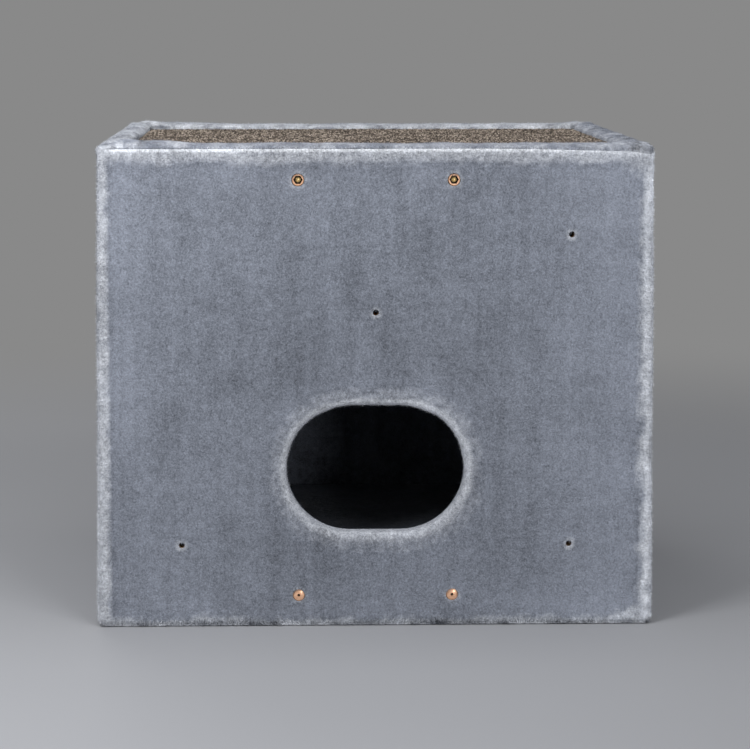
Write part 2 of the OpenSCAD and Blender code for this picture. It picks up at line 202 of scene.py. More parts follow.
def condo_sizes():
    """Sizes of the packed part, in metres, read from its solids."""
    cover_low, cover_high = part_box("front_cover")
    board_low, board_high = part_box("front_panel")
    rim_low, rim_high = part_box("front_rim")
    hem_low, hem_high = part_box("front_hem")
    lip_low, lip_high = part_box("entrance_lip")
    lip = bpy.context.scene.condo_entrance.lip_width
    door_w = lip_high.x - lip_low.x - 2 * lip
    door_h = lip_high.z - lip_low.z - 2 * lip
    return SimpleNamespace(
        half_w=cover_high.x,
        half_d=-cover_low.y,
        height=rim_high.z,
        plush=board_low.y - cover_low.y,
        wall=board_high.y - cover_low.y,
        cover_low=cover_low.z,
        fold=cover_high.z,
        cover_return=cover_high.y - cover_low.y,
        wall_top=board_high.z,
        rim_low=rim_low.z,
        rim_width=rim_high.y - rim_low.y,
        hem_high=hem_high.z,
        hem_width=hem_high.y - hem_low.y,
        door_h=door_h,
        door_z=(lip_high.z + lip_low.z) / 2,
        door_reach=(door_w - door_h) / 2,
        lip_front=lip_low.y,
        lip_back=lip_high.y,
        corner=bpy.context.scene.condo_plush.corner_radius,
        backing=bpy.context.scene.condo_plush.backing,
    )


def front_holes():
    """Centres, radii and kinds of the round holes in the front cover."""
    holes = []
    for node in ("upper_inserts", "lower_bolts"):
        low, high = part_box(node)
        radius = (high.z - low.z) / 2
        reach = high.x - radius
        for x in (-reach, reach):
            holes.append(((x, (low.z + high.z) / 2), radius + 0.0005, "fixing"))
    for mount in frame["record"]["mounts"]:
        x, _, z = mount["pos_m"]
        if mount["kind"] == "bore":
            holes.append(((x, z), mount["dims"]["r_mm"] / 1000 - 0.0001, "plain"))
        if mount["kind"] == "bolt_pattern":
            spread = mount["dims"]["spacing_x_mm"] / 2000
            for side in (-1, 1):
                holes.append(((x + side * spread, z), mount["dims"]["hole_r_mm"] / 1000 - 0.0001, "plain"))
    return holes


def clamp(value, low, high):
    return min(max(value, low), high)


def fade(value, full, none):
    """1 up to full, 0 from none on, and smooth between them."""
    t = clamp((value - full) / (none - full), 0.0, 1.0)
    return 1.0 - t * t * (3.0 - 2.0 * t)


def bell(away, reach):
    """1 at no distance, falling off smoothly over the reach."""
    return math.exp(-((away / reach) ** 2))


def half_run(size, side):
    """Half the length of a side of the box, counted from the front."""
    return size.half_w if side % 2 == 0 else size.half_d


def insets(size, point):
    """How far a point lies inside the side faces, and inside the front or back."""
    return size.half_w - abs(point.x), size.half_d - abs(point.y)


def sideways(point, along_y):
    """Way from the middle of the box to a point's side, along Y or along X."""
    if along_y:
        return Vector((0.0, math.copysign(1.0, point.y), 0.0))
    return Vector((math.copysign(1.0, point.x), 0.0, 0.0))


def door_gap(size, x, z):
    """Distance of a point of the front from the clear edge of the entrance, negative inside it."""
    across = max(abs(x) - size.door_reach, 0.0)
    return math.hypot(across, z - size.door_z) - size.door_h / 2


def kept(store, name, make):
    """The item of that name, which is made when it isn't there."""
    return store[name] if name in store else make(name)


class Graph:
    """Adds nodes to a tree and links them by socket."""

    def __init__(self, tree):
        self.tree = tree

    def feed(self, socket, value):
        if isinstance(value, NodeSocket):
            self.tree.links.new(value, socket)
        else:
            socket.default_value = value

    def fill(self, node, inputs):
        for key, value in inputs.items():
            self.feed(node.inputs[key], value)

    def add(self, kind, inputs=None, **settings):
        node = self.tree.nodes.new(kind)
        for key, value in settings.items():
            setattr(node, key, value)
        self.fill(node, inputs or {})
        return node

    def out(self, kind, inputs=None, socket=0, **settings):
        return self.add(kind, inputs, **settings).outputs[socket]

    def group(self, name, make, inputs):
        tree = kept(bpy.data.node_groups, name, make)
        return self.add("ShaderNodeGroup", inputs, node_tree=tree).outputs

    def calc(self, operation, first, second, third=0.0):
        return self.out("ShaderNodeMath", {0: first, 1: second, 2: third}, operation=operation)

    def times(self, first, second):
        return self.calc("MULTIPLY", first, second)

    def plus(self, total, *terms):
        for term in terms:
            total = self.calc("ADD", total, term)
        return total

    def vector(self, operation, first, second):
        key = "Scale" if operation == "SCALE" else 1
        return self.out("ShaderNodeVectorMath", {0: first, key: second}, operation=operation)

    def noise(self, position, scale, detail=2.0, roughness=0.5):
        inputs = {"Vector": position, "Scale": scale, "Detail": detail, "Roughness": roughness}
        return self.out("ShaderNodeTexNoise", inputs)

    def stretched(self, position, stretch):
        return self.noise(self.vector("MULTIPLY", position, stretch), 1.0, 2.0)

    def swing(self, value, amount):
        """A noise of mean one half as a change of that size about zero."""
        return self.times(self.calc("SUBTRACT", value, 0.5), amount)

    def remap(self, value, low, high, to_high=1.0, **settings):
        inputs = {"Value": value, "From Min": low, "From Max": high, "To Min": 0.0, "To Max": to_high}
        return self.out("ShaderNodeMapRange", inputs, **settings)

    def blend(self, mode, factor, first, second):
        inputs = {0: factor, 6: first, 7: second}
        return self.out("ShaderNodeMix", inputs, 2, data_type="RGBA", blend_type=mode)

    def shaded(self, factor, plain, value):
        """A colour times a grey of that value."""
        grey = self.out("ShaderNodeCombineColor", {0: value, 1: value, 2: value})
        return self.blend("MULTIPLY", factor, plain, grey)

    def bump(self, strength, distance, height):
        return self.out("ShaderNodeBump", {"Strength": strength, "Distance": distance, "Height": height})

    def attribute(self, name):
        return self.out("ShaderNodeAttribute", socket="Fac", attribute_name=name)

    def named(self, name, kind="FLOAT"):
        return self.out("GeometryNodeInputNamedAttribute", {"Name": name}, "Attribute", data_type=kind)

    def random(self, low, high, seed):
        return self.out("FunctionNodeRandomValue", {2: low, 3: high, 8: seed}, 1, data_type="FLOAT")

    def random_vector(self, reach, seed):
        low = tuple(-value for value in reach)
        return self.out("FunctionNodeRandomValue", {0: low, 1: reach, 8: seed}, data_type="FLOAT_VECTOR")

    def about_z(self, angle):
        return self.out("FunctionNodeAxisAngleToRotation", {"Axis": (0.0, 0.0, 1.0), "Angle": angle})

    def repeat(self, points, thing, finish, tone=None, **inputs):
        """A copy of an object on each point, with its own tone where one is given, as one painted mesh."""
        shape = self.out("GeometryNodeObjectInfo", {"Object": thing}, "Geometry")
        made = self.out("GeometryNodeInstanceOnPoints", {"Points": points, "Instance": shape, **inputs})
        if tone is not None:
            stored = {"Geometry": made, "Name": "tone", "Value": tone}
            made = self.out("GeometryNodeStoreNamedAttribute", stored, data_type="FLOAT", domain="INSTANCE")
        made = self.out("GeometryNodeRealizeInstances", {"Geometry": made})
        return self.out("GeometryNodeSetMaterial", {"Geometry": made, "Material": finish})


def tree_of(name, kind, inputs, outputs):
    """An empty node group with named sockets."""
    tree = bpy.data.node_groups.new(name, kind)
    for direction, sockets in (("INPUT", inputs), ("OUTPUT", outputs)):
        for label, socket in sockets.items():
            tree.interface.new_socket(name=label, in_out=direction, socket_type="NodeSocket" + socket)
    graph = Graph(tree)
    return graph, graph.add("NodeGroupInput").outputs, graph.add("NodeGroupOutput")


def pile_tone_group(name):
    """Colour and height of brushed pile: patches, streaks, brush marks, clumps and grain, paled by Open
    (partly painted sheen and light) and darkened by painted shade.
    """
    inputs = {"Position": "Vector", "Face": "Color", "Edge": "Color"}
    inputs.update(dict.fromkeys(("Open", "Tip", "Tone", "Crease", "Mottle", "Grain"), "Float"))
    graph, given, result = tree_of(name, "ShaderNodeTree", inputs, {"Color": "Color", "Height": "Float"})
    position = given["Position"]
    broad = graph.noise(position, 3.3, 1.0)
    patch = graph.noise(position, 14.0, 3.0, 0.62)
    streak = graph.stretched(position, (75.0, 75.0, 7.0))
    stroke = graph.stretched(position, (10.0, 10.0, 130.0))
    clump = graph.noise(position, 150.0, 2.0, 0.55)
    curl = graph.noise(position, 430.0, 1.0)
    grain = graph.noise(position, 850.0, 1.0)
    marks = graph.remap(stroke, 0.56, 0.74, -0.07)
    mottle = graph.plus(graph.swing(patch, 0.68), graph.swing(streak, 0.40), graph.swing(broad, 0.36))
    mottle = graph.plus(mottle, graph.plus(marks, graph.swing(clump, 0.55)))
    fine = graph.plus(graph.swing(grain, 1.7), graph.swing(curl, 1.5))
    factor = graph.calc("MULTIPLY_ADD", mottle, given["Mottle"], graph.times(fine, given["Grain"]))
    # Tip pales strands towards their tips, painted light against their own shade; Tone is a random tone; the
    # last input darkens as painted shade, partly brushed pile, and pales below 0.
    for label, weight in (("Tip", 0.10), ("Tone", 0.36), ("Crease", -0.36)):
        factor = graph.plus(factor, graph.times(given[label], weight))
    factor = graph.calc("MAXIMUM", graph.plus(factor, 1.0), 0.06)
    # Open mixes towards the edge colour: opened pile, partly painted sheen and light.
    ragged = graph.plus(given["Open"], graph.swing(clump, 0.36))
    ragged = graph.times(ragged, graph.calc("GREATER_THAN", given["Open"], 0.01))
    opened_and_lit = graph.out("ShaderNodeClamp", {"Value": ragged})
    plain = graph.blend("MIX", opened_and_lit, given["Face"], given["Edge"])
    height = graph.plus(grain, graph.times(clump, 1.6))
    graph.fill(result, {"Color": graph.shaded(1.0, plain, factor), "Height": height})
    return graph.tree


def worn_metal_group(name):
    """Colour and roughness of plated metal with faint stains and scratches, near black behind the front of
    the fixings as painted shade in their drives and sockets.
    """
    inputs = {"Position": "Vector", "Plating": "Color", "Stain": "Color", "Wear": "Float", "Soot": "Float"}
    outputs = {"Color": "Color", "Roughness": "Float", "Height": "Float"}
    graph, given, result = tree_of(name, "ShaderNodeTree", inputs, outputs)
    stain = graph.noise(given["Position"], 260.0, 4.0, 0.6)
    brushed = graph.stretched(given["Position"], (300.0, 300.0, 2600.0))
    amount = graph.times(graph.remap(stain, 0.45, 0.75), given["Wear"])
    worn = graph.blend("MIX", amount, given["Plating"], given["Stain"])
    depth = graph.out("ShaderNodeSeparateXYZ", {0: given["Position"]}, 1)
    # Painted shade: near black behind the front face of the fixings, inside their drives and sockets.
    recess_shade = graph.times(graph.remap(depth, -0.2468, -0.2450), given["Soot"])
    rough = graph.plus(graph.times(stain, 0.25), graph.times(brushed, 0.18))
    graph.fill(result, {
        "Color": graph.blend("MIX", recess_shade, worn, (0.012, 0.009, 0.007, 1.0)),
        "Roughness": graph.plus(rough, 0.10),
        "Height": brushed,
    })
    return graph.tree


def wood_group(name):
    """Colour and height of wood, as chips or as long grain by the stretch that is given."""
    inputs = {"Position": "Vector", "Stretch": "Vector", "Wood": "Color", "Chips": "Float"}
    graph, given, result = tree_of(name, "ShaderNodeTree", inputs, {"Color": "Color", "Height": "Float"})
    laid = graph.vector("MULTIPLY", given["Position"], given["Stretch"])
    grain = graph.noise(laid, 1.0, 4.0, 0.6)
    cells = graph.out("ShaderNodeTexVoronoi", {"Vector": laid, "Scale": 2.2}, "Color")
    chip = graph.out("ShaderNodeSeparateColor", {0: cells})
    factor = graph.plus(graph.swing(grain, 0.75), 1.0, graph.times(graph.swing(chip, 0.55), given["Chips"]))
    height = graph.plus(grain, graph.times(chip, given["Chips"]))
    graph.fill(result, {"Color": graph.shaded(1.0, given["Wood"], factor), "Height": height})
    return graph.tree


def new_material(name):
    """An empty material with its graph, its shader and its object coordinates."""
    material = bpy.data.materials.new(name)
    material.use_nodes = True
    graph = Graph(material.node_tree)
    shader = material.node_tree.nodes["Principled BSDF"]
    return material, graph, shader, graph.out("ShaderNodeTexCoord", socket="Object")


def rgba(value):
    return (value[0], value[1], value[2], 1.0)


def plush_material(face, edge, mottle, name):
    """Short brushed pile, opened and paler where the cloth carries the attribute open, which is partly
    painted sheen and light, and darker where its shade attribute carries painted shade.
    """
    material, graph, shader, position = new_material(name)
    inputs = {label: graph.attribute(label.lower()) for label in ("Open", "Tip", "Tone", "Crease")}
    inputs.update({"Position": position, "Face": rgba(face), "Edge": rgba(edge)})
    inputs.update({"Mottle": mottle, "Grain": 0.6})
    tone = graph.group("Pile tone", pile_tone_group, inputs)
    graph.fill(shader, {
        "Base Color": tone["Color"],
        "Normal": graph.bump(0.55, 0.0011, tone["Height"]),
        "Roughness": 0.92,
        "Specular IOR Level": 0.12,
        "Sheen Weight": 0.25,
        "Sheen Roughness": 0.5,
        "Sheen Tint": (0.80, 0.86, 1.0, 1.0),
    })
    return material


def outer_plush():
    plush = bpy.context.scene.condo_plush
    return kept(bpy.data.materials, "Grey-blue plush", partial(plush_material, plush.face, plush.edge, 1.0))


def lining_plush():
    plush = bpy.context.scene.condo_plush
    return kept(bpy.data.materials, "Lining plush", partial(plush_material, plush.lining, plush.face, 2.0))


def sisal_material(name):
    """Heathered fibre: each stitch has its own tone."""
    mat = bpy.context.scene.condo_mat
    material, graph, shader, position = new_material(name)
    fibre = graph.stretched(position, (2600.0, 500.0, 900.0))
    patch = graph.noise(position, 26.0, 2.0)
    heather = graph.plus(graph.swing(fibre, 0.85), graph.swing(patch, 0.5))
    tone = graph.plus(graph.attribute("tone"), 0.5, heather)
    ramp = graph.add("ShaderNodeValToRGB", {"Fac": tone})
    stops = ramp.color_ramp.elements
    stops[0].color = rgba(mat.dark)
    stops[1].color = rgba(mat.pale)
    stops.new(0.5).color = rgba(mat.middle)
    graph.fill(shader, {
        "Base Color": ramp.outputs["Color"],
        "Normal": graph.bump(0.5, 0.0005, fibre),
        "Roughness": 0.85,
        "Specular IOR Level": 0.25,
    })
    return material


def metal_material(plating, stain, wear, recess_shade, metallic, name):
    """Plated steel, near black inside the drives and sockets of the front as painted shade."""
    material, graph, shader, position = new_material(name)
    inputs = {"Position": position, "Plating": rgba(plating), "Stain": rgba(stain)}
    inputs.update({"Wear": wear, "Soot": recess_shade})
    worn = graph.group("Plated metal", worn_metal_group, inputs)
    graph.fill(shader, {
        "Base Color": worn["Color"],
        "Roughness": worn["Roughness"],
        "Normal": graph.bump(0.15, 0.0001, worn["Height"]),
        "Metallic": metallic,
    })
    return material


def wood_material(wood, stretch, chips, name):
    """Raw chipboard or planed softwood."""
    material, graph, shader, position = new_material(name)
    inputs = {"Position": position, "Stretch": stretch, "Wood": rgba(wood), "Chips": chips}
    laid = graph.group("Wood", wood_group, inputs)
    bump = graph.bump(0.3, 0.0004, laid["Height"])
    graph.fill(shader, {"Base Color": laid["Color"], "Normal": bump, "Roughness": 0.75})
    return material


def finishes():
    """Materials of the hard slots."""
    made = bpy.context.scene.condo_fittings
    metal, wood = metal_material, wood_material
    makers = {
        "board": ("Chipboard", wood, made.chip, (150.0, 150.0, 150.0), 1.0),
        "batten": ("Softwood", wood, made.softwood, (40.0, 40.0, 160.0), 0.0),
        # The copper takes painted shade in its drives and sockets; the other metals take none.
        "copper": ("Copper plate", metal, made.copper, (0.45, 0.20, 0.11), 0.5, 0.97, 0.5),
        "yellow_steel": ("Yellow steel", metal, made.yellow, (0.62, 0.40, 0.22), 0.4, 0.0, 0.4),
        "steel": ("Zinc steel", metal, made.zinc, (0.42, 0.43, 0.45), 0.5, 0.0, 1.0),
    }
    return {
        slot: kept(bpy.data.materials, name, partial(make, *values))
        for slot, (name, make, *values) in makers.items()
    }


def outline(size, inset, place):
    """Point of the box's rounded plan, inset from its faces. Place counts sides from the front left."""
    side = math.floor(place) % 4
    run = place - math.floor(place)
    across = half_run(size, side + 1) - inset
    radius = max(size.corner - inset, 0.002)
    straight = half_run(size, side) - inset - radius
    turn = math.radians(45.0)
    if run < CORNER_SHARE:
        angle = -turn * (1.0 - run / CORNER_SHARE)
        u, v = -straight + radius * math.sin(angle), across - radius + radius * math.cos(angle)
    elif run > 1.0 - CORNER_SHARE:
        angle = turn * (1.0 - (1.0 - run) / CORNER_SHARE)
        u, v = straight + radius * math.sin(angle), across - radius + radius * math.cos(angle)
    else:
        u, v = straight * (2.0 * (run - CORNER_SHARE) / STRAIGHT_SHARE - 1.0), across
    return ((u, -v), (v, u), (-u, v), (-v, -u))[side]


def run_at(size, side, along):
    """Share of a side's run at a distance along it from its middle."""
    return CORNER_SHARE + STRAIGHT_SHARE * (along / (half_run(size, side) - size.corner) + 1.0) / 2.0


def places(size, start, end, step, marks=()):
    """Places along the plan from start to end, closer on the corners and at the marks."""
    found = {start, end, *marks}
    for side in range(math.floor(start), math.ceil(end)):
        count = math.ceil(2.0 * half_run(size, side) / step)
        runs = [CORNER_SHARE + STRAIGHT_SHARE * k / count for k in range(count + 1)]
        runs += [CORNER_SHARE * k / 5 for k in range(5)] + [1.0 - CORNER_SHARE * k / 5 for k in range(5)]
        found.update(side + run for run in runs)
    spaced = []
    for place in sorted(found):
        if start <= place <= end and (not spaced or place - spaced[-1] > 1e-5):
            spaced.append(place)
    return spaced


def near(values, spacing=0.002, reach=0.012):
    """Extra grid lines round each of the values."""
    count = round(reach / spacing)
    return [value + k * spacing for value in values for k in range(-count, count + 1)]


def section_normals(section):
    """Outward direction at each point of a closed section, whichever way round it is listed."""
    area = sum(a[0] * b[1] - b[0] * a[1] for a, b in zip(section, section[1:] + section[:1]))
    sign = 1.0 if area > 0.0 else -1.0
    normals = []
    for before, after in zip(section[-1:] + section[:-1], section[1:] + section[:1]):
        tangent = Vector((after[0] - before[0], after[1] - before[1]))
        normals.append(Vector((tangent.y, -tangent.x)).normalized() * sign)
    return normals


def new_object(name, mesh):
    """Object of a mesh, in the scene."""
    piece = bpy.data.objects.new(name, mesh)
    bpy.context.scene.collection.objects.link(piece)
    return piece


def mesh_of(name, bm):
    """Mesh of a bmesh, which is freed."""
    mesh = bpy.data.meshes.new(name)
    bm.to_mesh(mesh)
    bm.free()
    return mesh


def smooth(mesh, sharp=True):
    """Shades a mesh smooth, except at its sharp edges."""
    mesh.polygons.foreach_set("use_smooth", [True] * len(mesh.polygons))
    if sharp:
        mesh.set_sharp_from_angle(angle=math.radians(SHARP))


def finish_mesh(name, bm, material):
    """Object of a finished mesh."""
    bmesh.ops.recalc_face_normals(bm, faces=bm.faces)
    mesh = mesh_of(name, bm)
    smooth(mesh)
    mesh.materials.append(material)
    return new_object(name, mesh)


def join(bm, first, second):
    """Adds the faces between two closed rows of vertices."""
    for k in range(len(first)):
        n = (k + 1) % len(first)
        bm.faces.new((first[k], second[k], second[n], first[n]))


def loft(rows, closed):
    """Mesh of rows of points, each a closed loop, with capped ends unless the rows close on themselves."""
    bm = bmesh.new()
    made = [[bm.verts.new(point) for point in row] for row in rows]
    for first, second in zip(made, made[1:]):
        join(bm, first, second)
    if closed:
        join(bm, made[-1], made[0])
    else:
        bm.faces.new(made[0])
        bm.faces.new(made[-1])
    return bm


def sweep(size, name, stops, section, lump):
    """Cloth shell: a closed section of (inset, height, softness) carried along the plan."""
    normals = section_normals(section)
    rows = []
    for place in stops:
        row = []
        for (inset, height, soft), normal in zip(section, normals):
            x, y = outline(size, inset, place)
            if soft:
                swell = soft * lump(Vector((x, y, height)), normal.y)
                x, y = outline(size, inset + normal.x * swell, place)
                height += normal.y * swell
            row.append((x, y, height + seam_shift(size, Vector((x, y, height)))))
        rows.append(row)
    return finish_mesh(name, loft(rows, False), outer_plush())


def prism(bm, points, near_y, far_y):
    """Adds a prism along Y with that outline, of (x, z) points."""
    first, second = [[bm.verts.new((x, y, z)) for x, z in points] for y in (near_y, far_y)]
    bm.faces.new(first)
    bm.faces.new(second)
    join(bm, first, second)


def round_points(x, z, radius, count=28):
    angles = [2 * math.pi * k / count for k in range(count)]
    return [(x + radius * math.cos(angle), z + radius * math.sin(angle)) for angle in angles]


def door_points(size, gap, count=24):
    """Outline of the entrance, let out by a gap."""
    radius = size.door_h / 2 + gap
    points = []
    for side, start in ((1, -90.0), (-1, 90.0)):
        for k in range(count + 1):
            angle = math.radians(start + 180.0 * k / count)
            x = side * size.door_reach + radius * math.cos(angle)
            points.append((x, size.door_z + radius * math.sin(angle)))
    return points


def plain_mesh(piece):
    """Turns what a piece's modifiers make into its plain mesh."""
    graph = bpy.context.evaluated_depsgraph_get()
    shaped = piece.evaluated_get(graph)
    mesh = bpy.data.meshes.new_from_object(shaped, preserve_all_data_layers=True, depsgraph=graph)
    piece.modifiers.clear()
    old, piece.data = piece.data, mesh
    bpy.data.meshes.remove(old)
    mesh.name = piece.name


def cut(piece, bm):
    """Cuts the solids of a mesh out of a piece."""
    cutter = finish_mesh("cutter", bm, piece.data.materials[0])
    modifier = piece.modifiers.new("cut", "BOOLEAN")
    modifier.operation = "DIFFERENCE"
    modifier.solver = "EXACT"
    modifier.object = cutter
    plain_mesh(piece)
    bpy.data.objects.remove(cutter)
    smooth(piece.data)


def cut_front(piece, door, circles, near_y, far_y):
    """Cuts the entrance and round holes out of a cloth of the front."""
    cutters = bmesh.new()
    prism(cutters, door, near_y - PAST, far_y + PAST)
    for (x, z), radius, _ in circles:
        prism(cutters, round_points(x, z, radius), near_y - PAST, far_y + PAST)
    cut(piece, cutters)


def face_lump(point):
    """Soft unevenness of glued cloth."""
    swell = 0.0005 * noise.noise(point * 18.0) + 0.0003 * noise.noise(point * 55.0)
    return swell + 0.00025 * noise.noise(point * 150.0)


def beside(size, point):
    """1 on the left and right faces, 0 on the front and back, and between on the corners."""
    return 1.0 - fade(abs(point.x), size.half_w - size.corner, size.half_w - 0.003)


def seam_shift(size, point):
    """How far the seam under the rim runs above its even height, along the front."""
    front = fade(size.half_d + point.y, 0.006, 0.020)
    below = 1.0 - fade(point.z, size.fold - 0.030, size.fold - 0.006)
    above = fade(point.z, size.fold + 0.0008, size.fold + 0.0026)
    rise = 0.0012 - 0.0024 * fade(size.half_w + point.x, 0.003, 0.016)
    drop = 0.0030 * (1.0 - fade(point.x, 0.12, 0.28)) + 0.0030 * fade(size.half_w - point.x, 0.004, 0.034)
    return (rise - drop) * front * below * above


def corner_fold(size, point):
    """Distance from the diagonal of the nearest corner, seen from above."""
    inset_x, inset_y = insets(size, point)
    return abs(inset_x - inset_y) / math.sqrt(2.0)


def cover_lump(size, holes, point, _up):
    """Unevenness of a wall cover, fuller on the sides towards the ground, dimpled round the holes."""
    swell = face_lump(point)
    top = size.fold - point.z
    swell -= 0.0011 * fade(max(insets(size, point)), 0.004, 0.018) * fade(top, 0.002, 0.016)
    fuller = 0.0023 * (1.0 - fade(top, 0.004, 0.22)) - 0.0008 + 0.0024 * fade(point.z, 0.0, 0.26)
    swell += fuller * beside(size, point)
    if point.y < -size.half_d + 0.001:
        for (x, z), radius, kind in holes:
            away = math.hypot(point.x - x, point.z - z) - radius
            if away < 0.01:
                swell -= (0.0016 if kind == "plain" else 0.0020) * fade(away, 0.0, 0.005)
    return swell


def hem_lump(size, point, _up):
    """Unevenness of a hem, fuller on the sides like the covers above it."""
    return face_lump(point) + 0.0062 * beside(size, point)


def rim_lump(size, point, up):
    """Fuller unevenness of the rolled rim, raised at the back corners, with a tuck along each diagonal."""
    above = max(up, 0.0)
    inset_x, inset_y = insets(size, point)
    apart = max(inset_x, inset_y)
    fold = corner_fold(size, point)
    swell = 0.0010 * noise.noise(point * 24.0) + 0.0006 * noise.noise(point * 75.0)
    swell += 0.0018 * bell(fold - 0.0105, 0.0055) * above
    swell -= 0.0040 * bell(fold, 0.0030) * max(up, 0.3) * (1.0 - fade(apart, 0.006, 0.016))
    swell -= 0.0008 * fade(apart, 0.004, 0.024) * above
    if point.x < 0.0 and inset_x < size.rim_width / 2:
        swell -= 0.0020 * 4.0 * above * (1.0 - above) * fade(inset_x - inset_y, -0.010, 0.0)
    if point.y > 0.0:
        rise = 0.0006 * fade(apart, 0.015, 0.110)
        if point.x < 0.0:
            rise = 0.0022 * fade(apart, 0.030, 0.160) * (1.0 - 0.8 * fade(inset_x - inset_y, -0.008, 0.008))
    else:
        rise = -0.0008 * fade(apart, 0.015, 0.110)
        if point.x < 0.0:
            rise += 0.0036 * fade(inset_x, 0.060, 0.120) * (1.0 - fade(inset_x, 0.010, 0.034))
    swell += rise * above
    swell -= 0.0022 * beside(size, point) * (1.0 - 0.4 * above)
    swell -= 0.0020 * fade(apart, 0.006, 0.014)
    return max(swell, 0.0027 * fade(apart, 0.012, 0.018) - 0.0033)


def away_from(x, z, point):
    """Direction over the front from a centre to a point."""
    way = Vector((point.x - x, 0.0, point.z - z))
    return way.normalized() if way.length else UP


def nap(size, holes, point):
    """Pile at a point of the outer plush: how open and pale it is, partly as painted light, which way it
    lies, how it stands, and its painted shade, partly brushed pile.
    """
    wander, drift = noise.noise(point * 62.0), noise.noise(point * 19.0)
    blotch = 1.0 + 0.40 * noise.noise(point * 88.0) + 0.25 * drift
    inset_x, inset_y = insets(size, point)
    corner, top, bottom = max(inset_x, 0.6 * inset_y), size.fold - point.z, point.z
    turned = 1.0 - fade(inset_y - inset_x, -0.002, 0.007)
    broad = point * 8.0
    lie = Vector((0.4 * noise.noise(broad), 0.4 * noise.noise(broad + Vector((5.0, 0.0, 0.0))), 0.0))
    lie.z = -1.0 + fade(bottom, 0.004, 0.009)
    # Paler towards the contour of the sides, which turn away from the light, and by a different amount on the
    # left and the right: painted light.
    soft, beyond = 0.3, 0.34 * fade(point.z, 0.08, 0.26)
    if point.x > 0.0:
        soft, beyond = 1.0, 0.12 + 0.15 * (1.0 - fade(point.z, 0.20, 0.42))
    stray = (0.0015 + 0.0045 * soft) * wander + 0.006 * soft * drift
    edge = fade(corner + stray, 0.0090 - 0.0025 * soft, 0.0120 + 0.005 * soft)
    band = fade(top + 0.003 * wander + 0.005 * drift, 0.004, 0.016)
    # Painted highlight along the crest of pile under the rim.
    crest_highlight = 1.0 - 0.7 * fade(corner, 0.006 + 0.008 * soft, 0.012 + 0.020 * soft)
    crest_highlight *= fade(top + 0.0008 * wander, 0.0010, 0.0034)
    low_tuft = 0.012 * fade(size.half_w - point.x, 0.005, 0.055)
    tuft = fade(bottom - low_tuft + 0.004 * wander + 0.004 * drift, 0.003, 0.011)
    pulls = [
        ((0.54 + 0.06 * soft + beyond * turned) * edge * blotch, sideways(point, inset_x < inset_y)),
        (0.54 * band * blotch, UP),
        (0.95 * crest_highlight * (0.8 + 0.2 * blotch), UP),
        (0.46 * tuft * blotch, Vector((0.0, 0.0, 0.5 * lie.z))),
    ]
    if point.x > 0.0:
        near_top = math.hypot(min(corner, 0.06), top) + 0.006 * wander + 0.006 * drift
        pulls.append((0.44 * fade(near_top, 0.014, 0.042) * blotch, Vector((0.4, 0.0, 0.6))))
    # Painted shade: a darker strip just inside the side bands and another below the top band, where the pile
    # folds.
    crease = bell(corner - 0.0145, 0.0022) * (0.35 + 0.6 * wander)
    crease += bell(top + 0.005 * drift - 0.0165, 0.0024) * max(0.2 + 0.8 * drift, 0.0)
    if point.y < 0.0 and inset_y < 0.03:
        # Painted shade low in the middle under the entrance and painted light at the lower right, then the
        # listed patches, partly brushed pile and partly painted light and shade.
        crease += 0.30 * bell(point.x, 0.14) * bell(point.z - 0.06, 0.07)
        crease -= 0.44 * fade(-point.x, -0.24, -0.15) * fade(point.z, 0.12, 0.30)
        for amount, x, z, wide, tall in BRUSHING_AND_SHADE:
            brushed = amount * bell(point.x - x, wide) * bell(point.z - z, tall)
            crease += brushed * (1.0 - 1.2 * (1.0 - soft) * edge)
        pulls += front_pulls(size, holes, point, wander, drift, blotch)
    opened_and_lit = min(max(pull for pull, _ in pulls), 1.0)
    spread = min(2.0 * opened_and_lit, 1.0)
    flow = lie * (1.0 - spread) + sum((direction * pull * 2.0 for pull, direction in pulls), Vector())
    stand = (0.14 + 0.34 * spread) * (1.0 - 0.5 * beside(size, point))
    return opened_and_lit, flow.normalized(), stand, clamp(crease, -1.4, 3.2)


def front_pulls(size, holes, point, wander, drift, blotch):
    """How the pile of the front is opened, and which way, round the entrance and the holes; the paler halo is
    partly painted light, stronger over the top of the entrance, wider below it, and stronger below the plain
    holes.
    """
    pulls = []
    gap = door_gap(size, point.x, point.z)
    if gap < 0.03:
        middle = clamp(point.x, -size.door_reach, size.door_reach)
        depth = fade(point.y - size.lip_front, 0.016, 0.026)
        way = away_from(middle, size.door_z, point) * depth + Vector((0.0, 1.0 - depth, 0.0))
        under = clamp((size.door_z - point.z) / size.door_h + 0.5, 0.0, 1.0)
        wide = 0.0030 * under * under + 0.0010 * fade(-point.x, -0.08, 0.0)
        halo = 0.38 * fade(gap + 0.0015 * wander - wide, 0.0030, 0.0100)
        halo += 0.13 * fade(gap + 0.004 * drift - wide, 0.010, 0.022)
        pulls.append((halo * (1.18 - 0.49 * under) * (0.4 + 0.6 * blotch) * depth, way))
    for (x, z), radius, kind in holes:
        apart = math.hypot(point.x - x, point.z - z) - radius
        if apart < 0.02:
            way = away_from(x, z, point)
            strength, reach = 0.12, 0.0040
            if kind == "plain":
                strength, reach = 0.20 - 0.16 * min(way.z, 0.0), 0.0048
            pulls.append((strength * fade(apart + 0.001 * wander, 0.0010, reach), way))
    return pulls


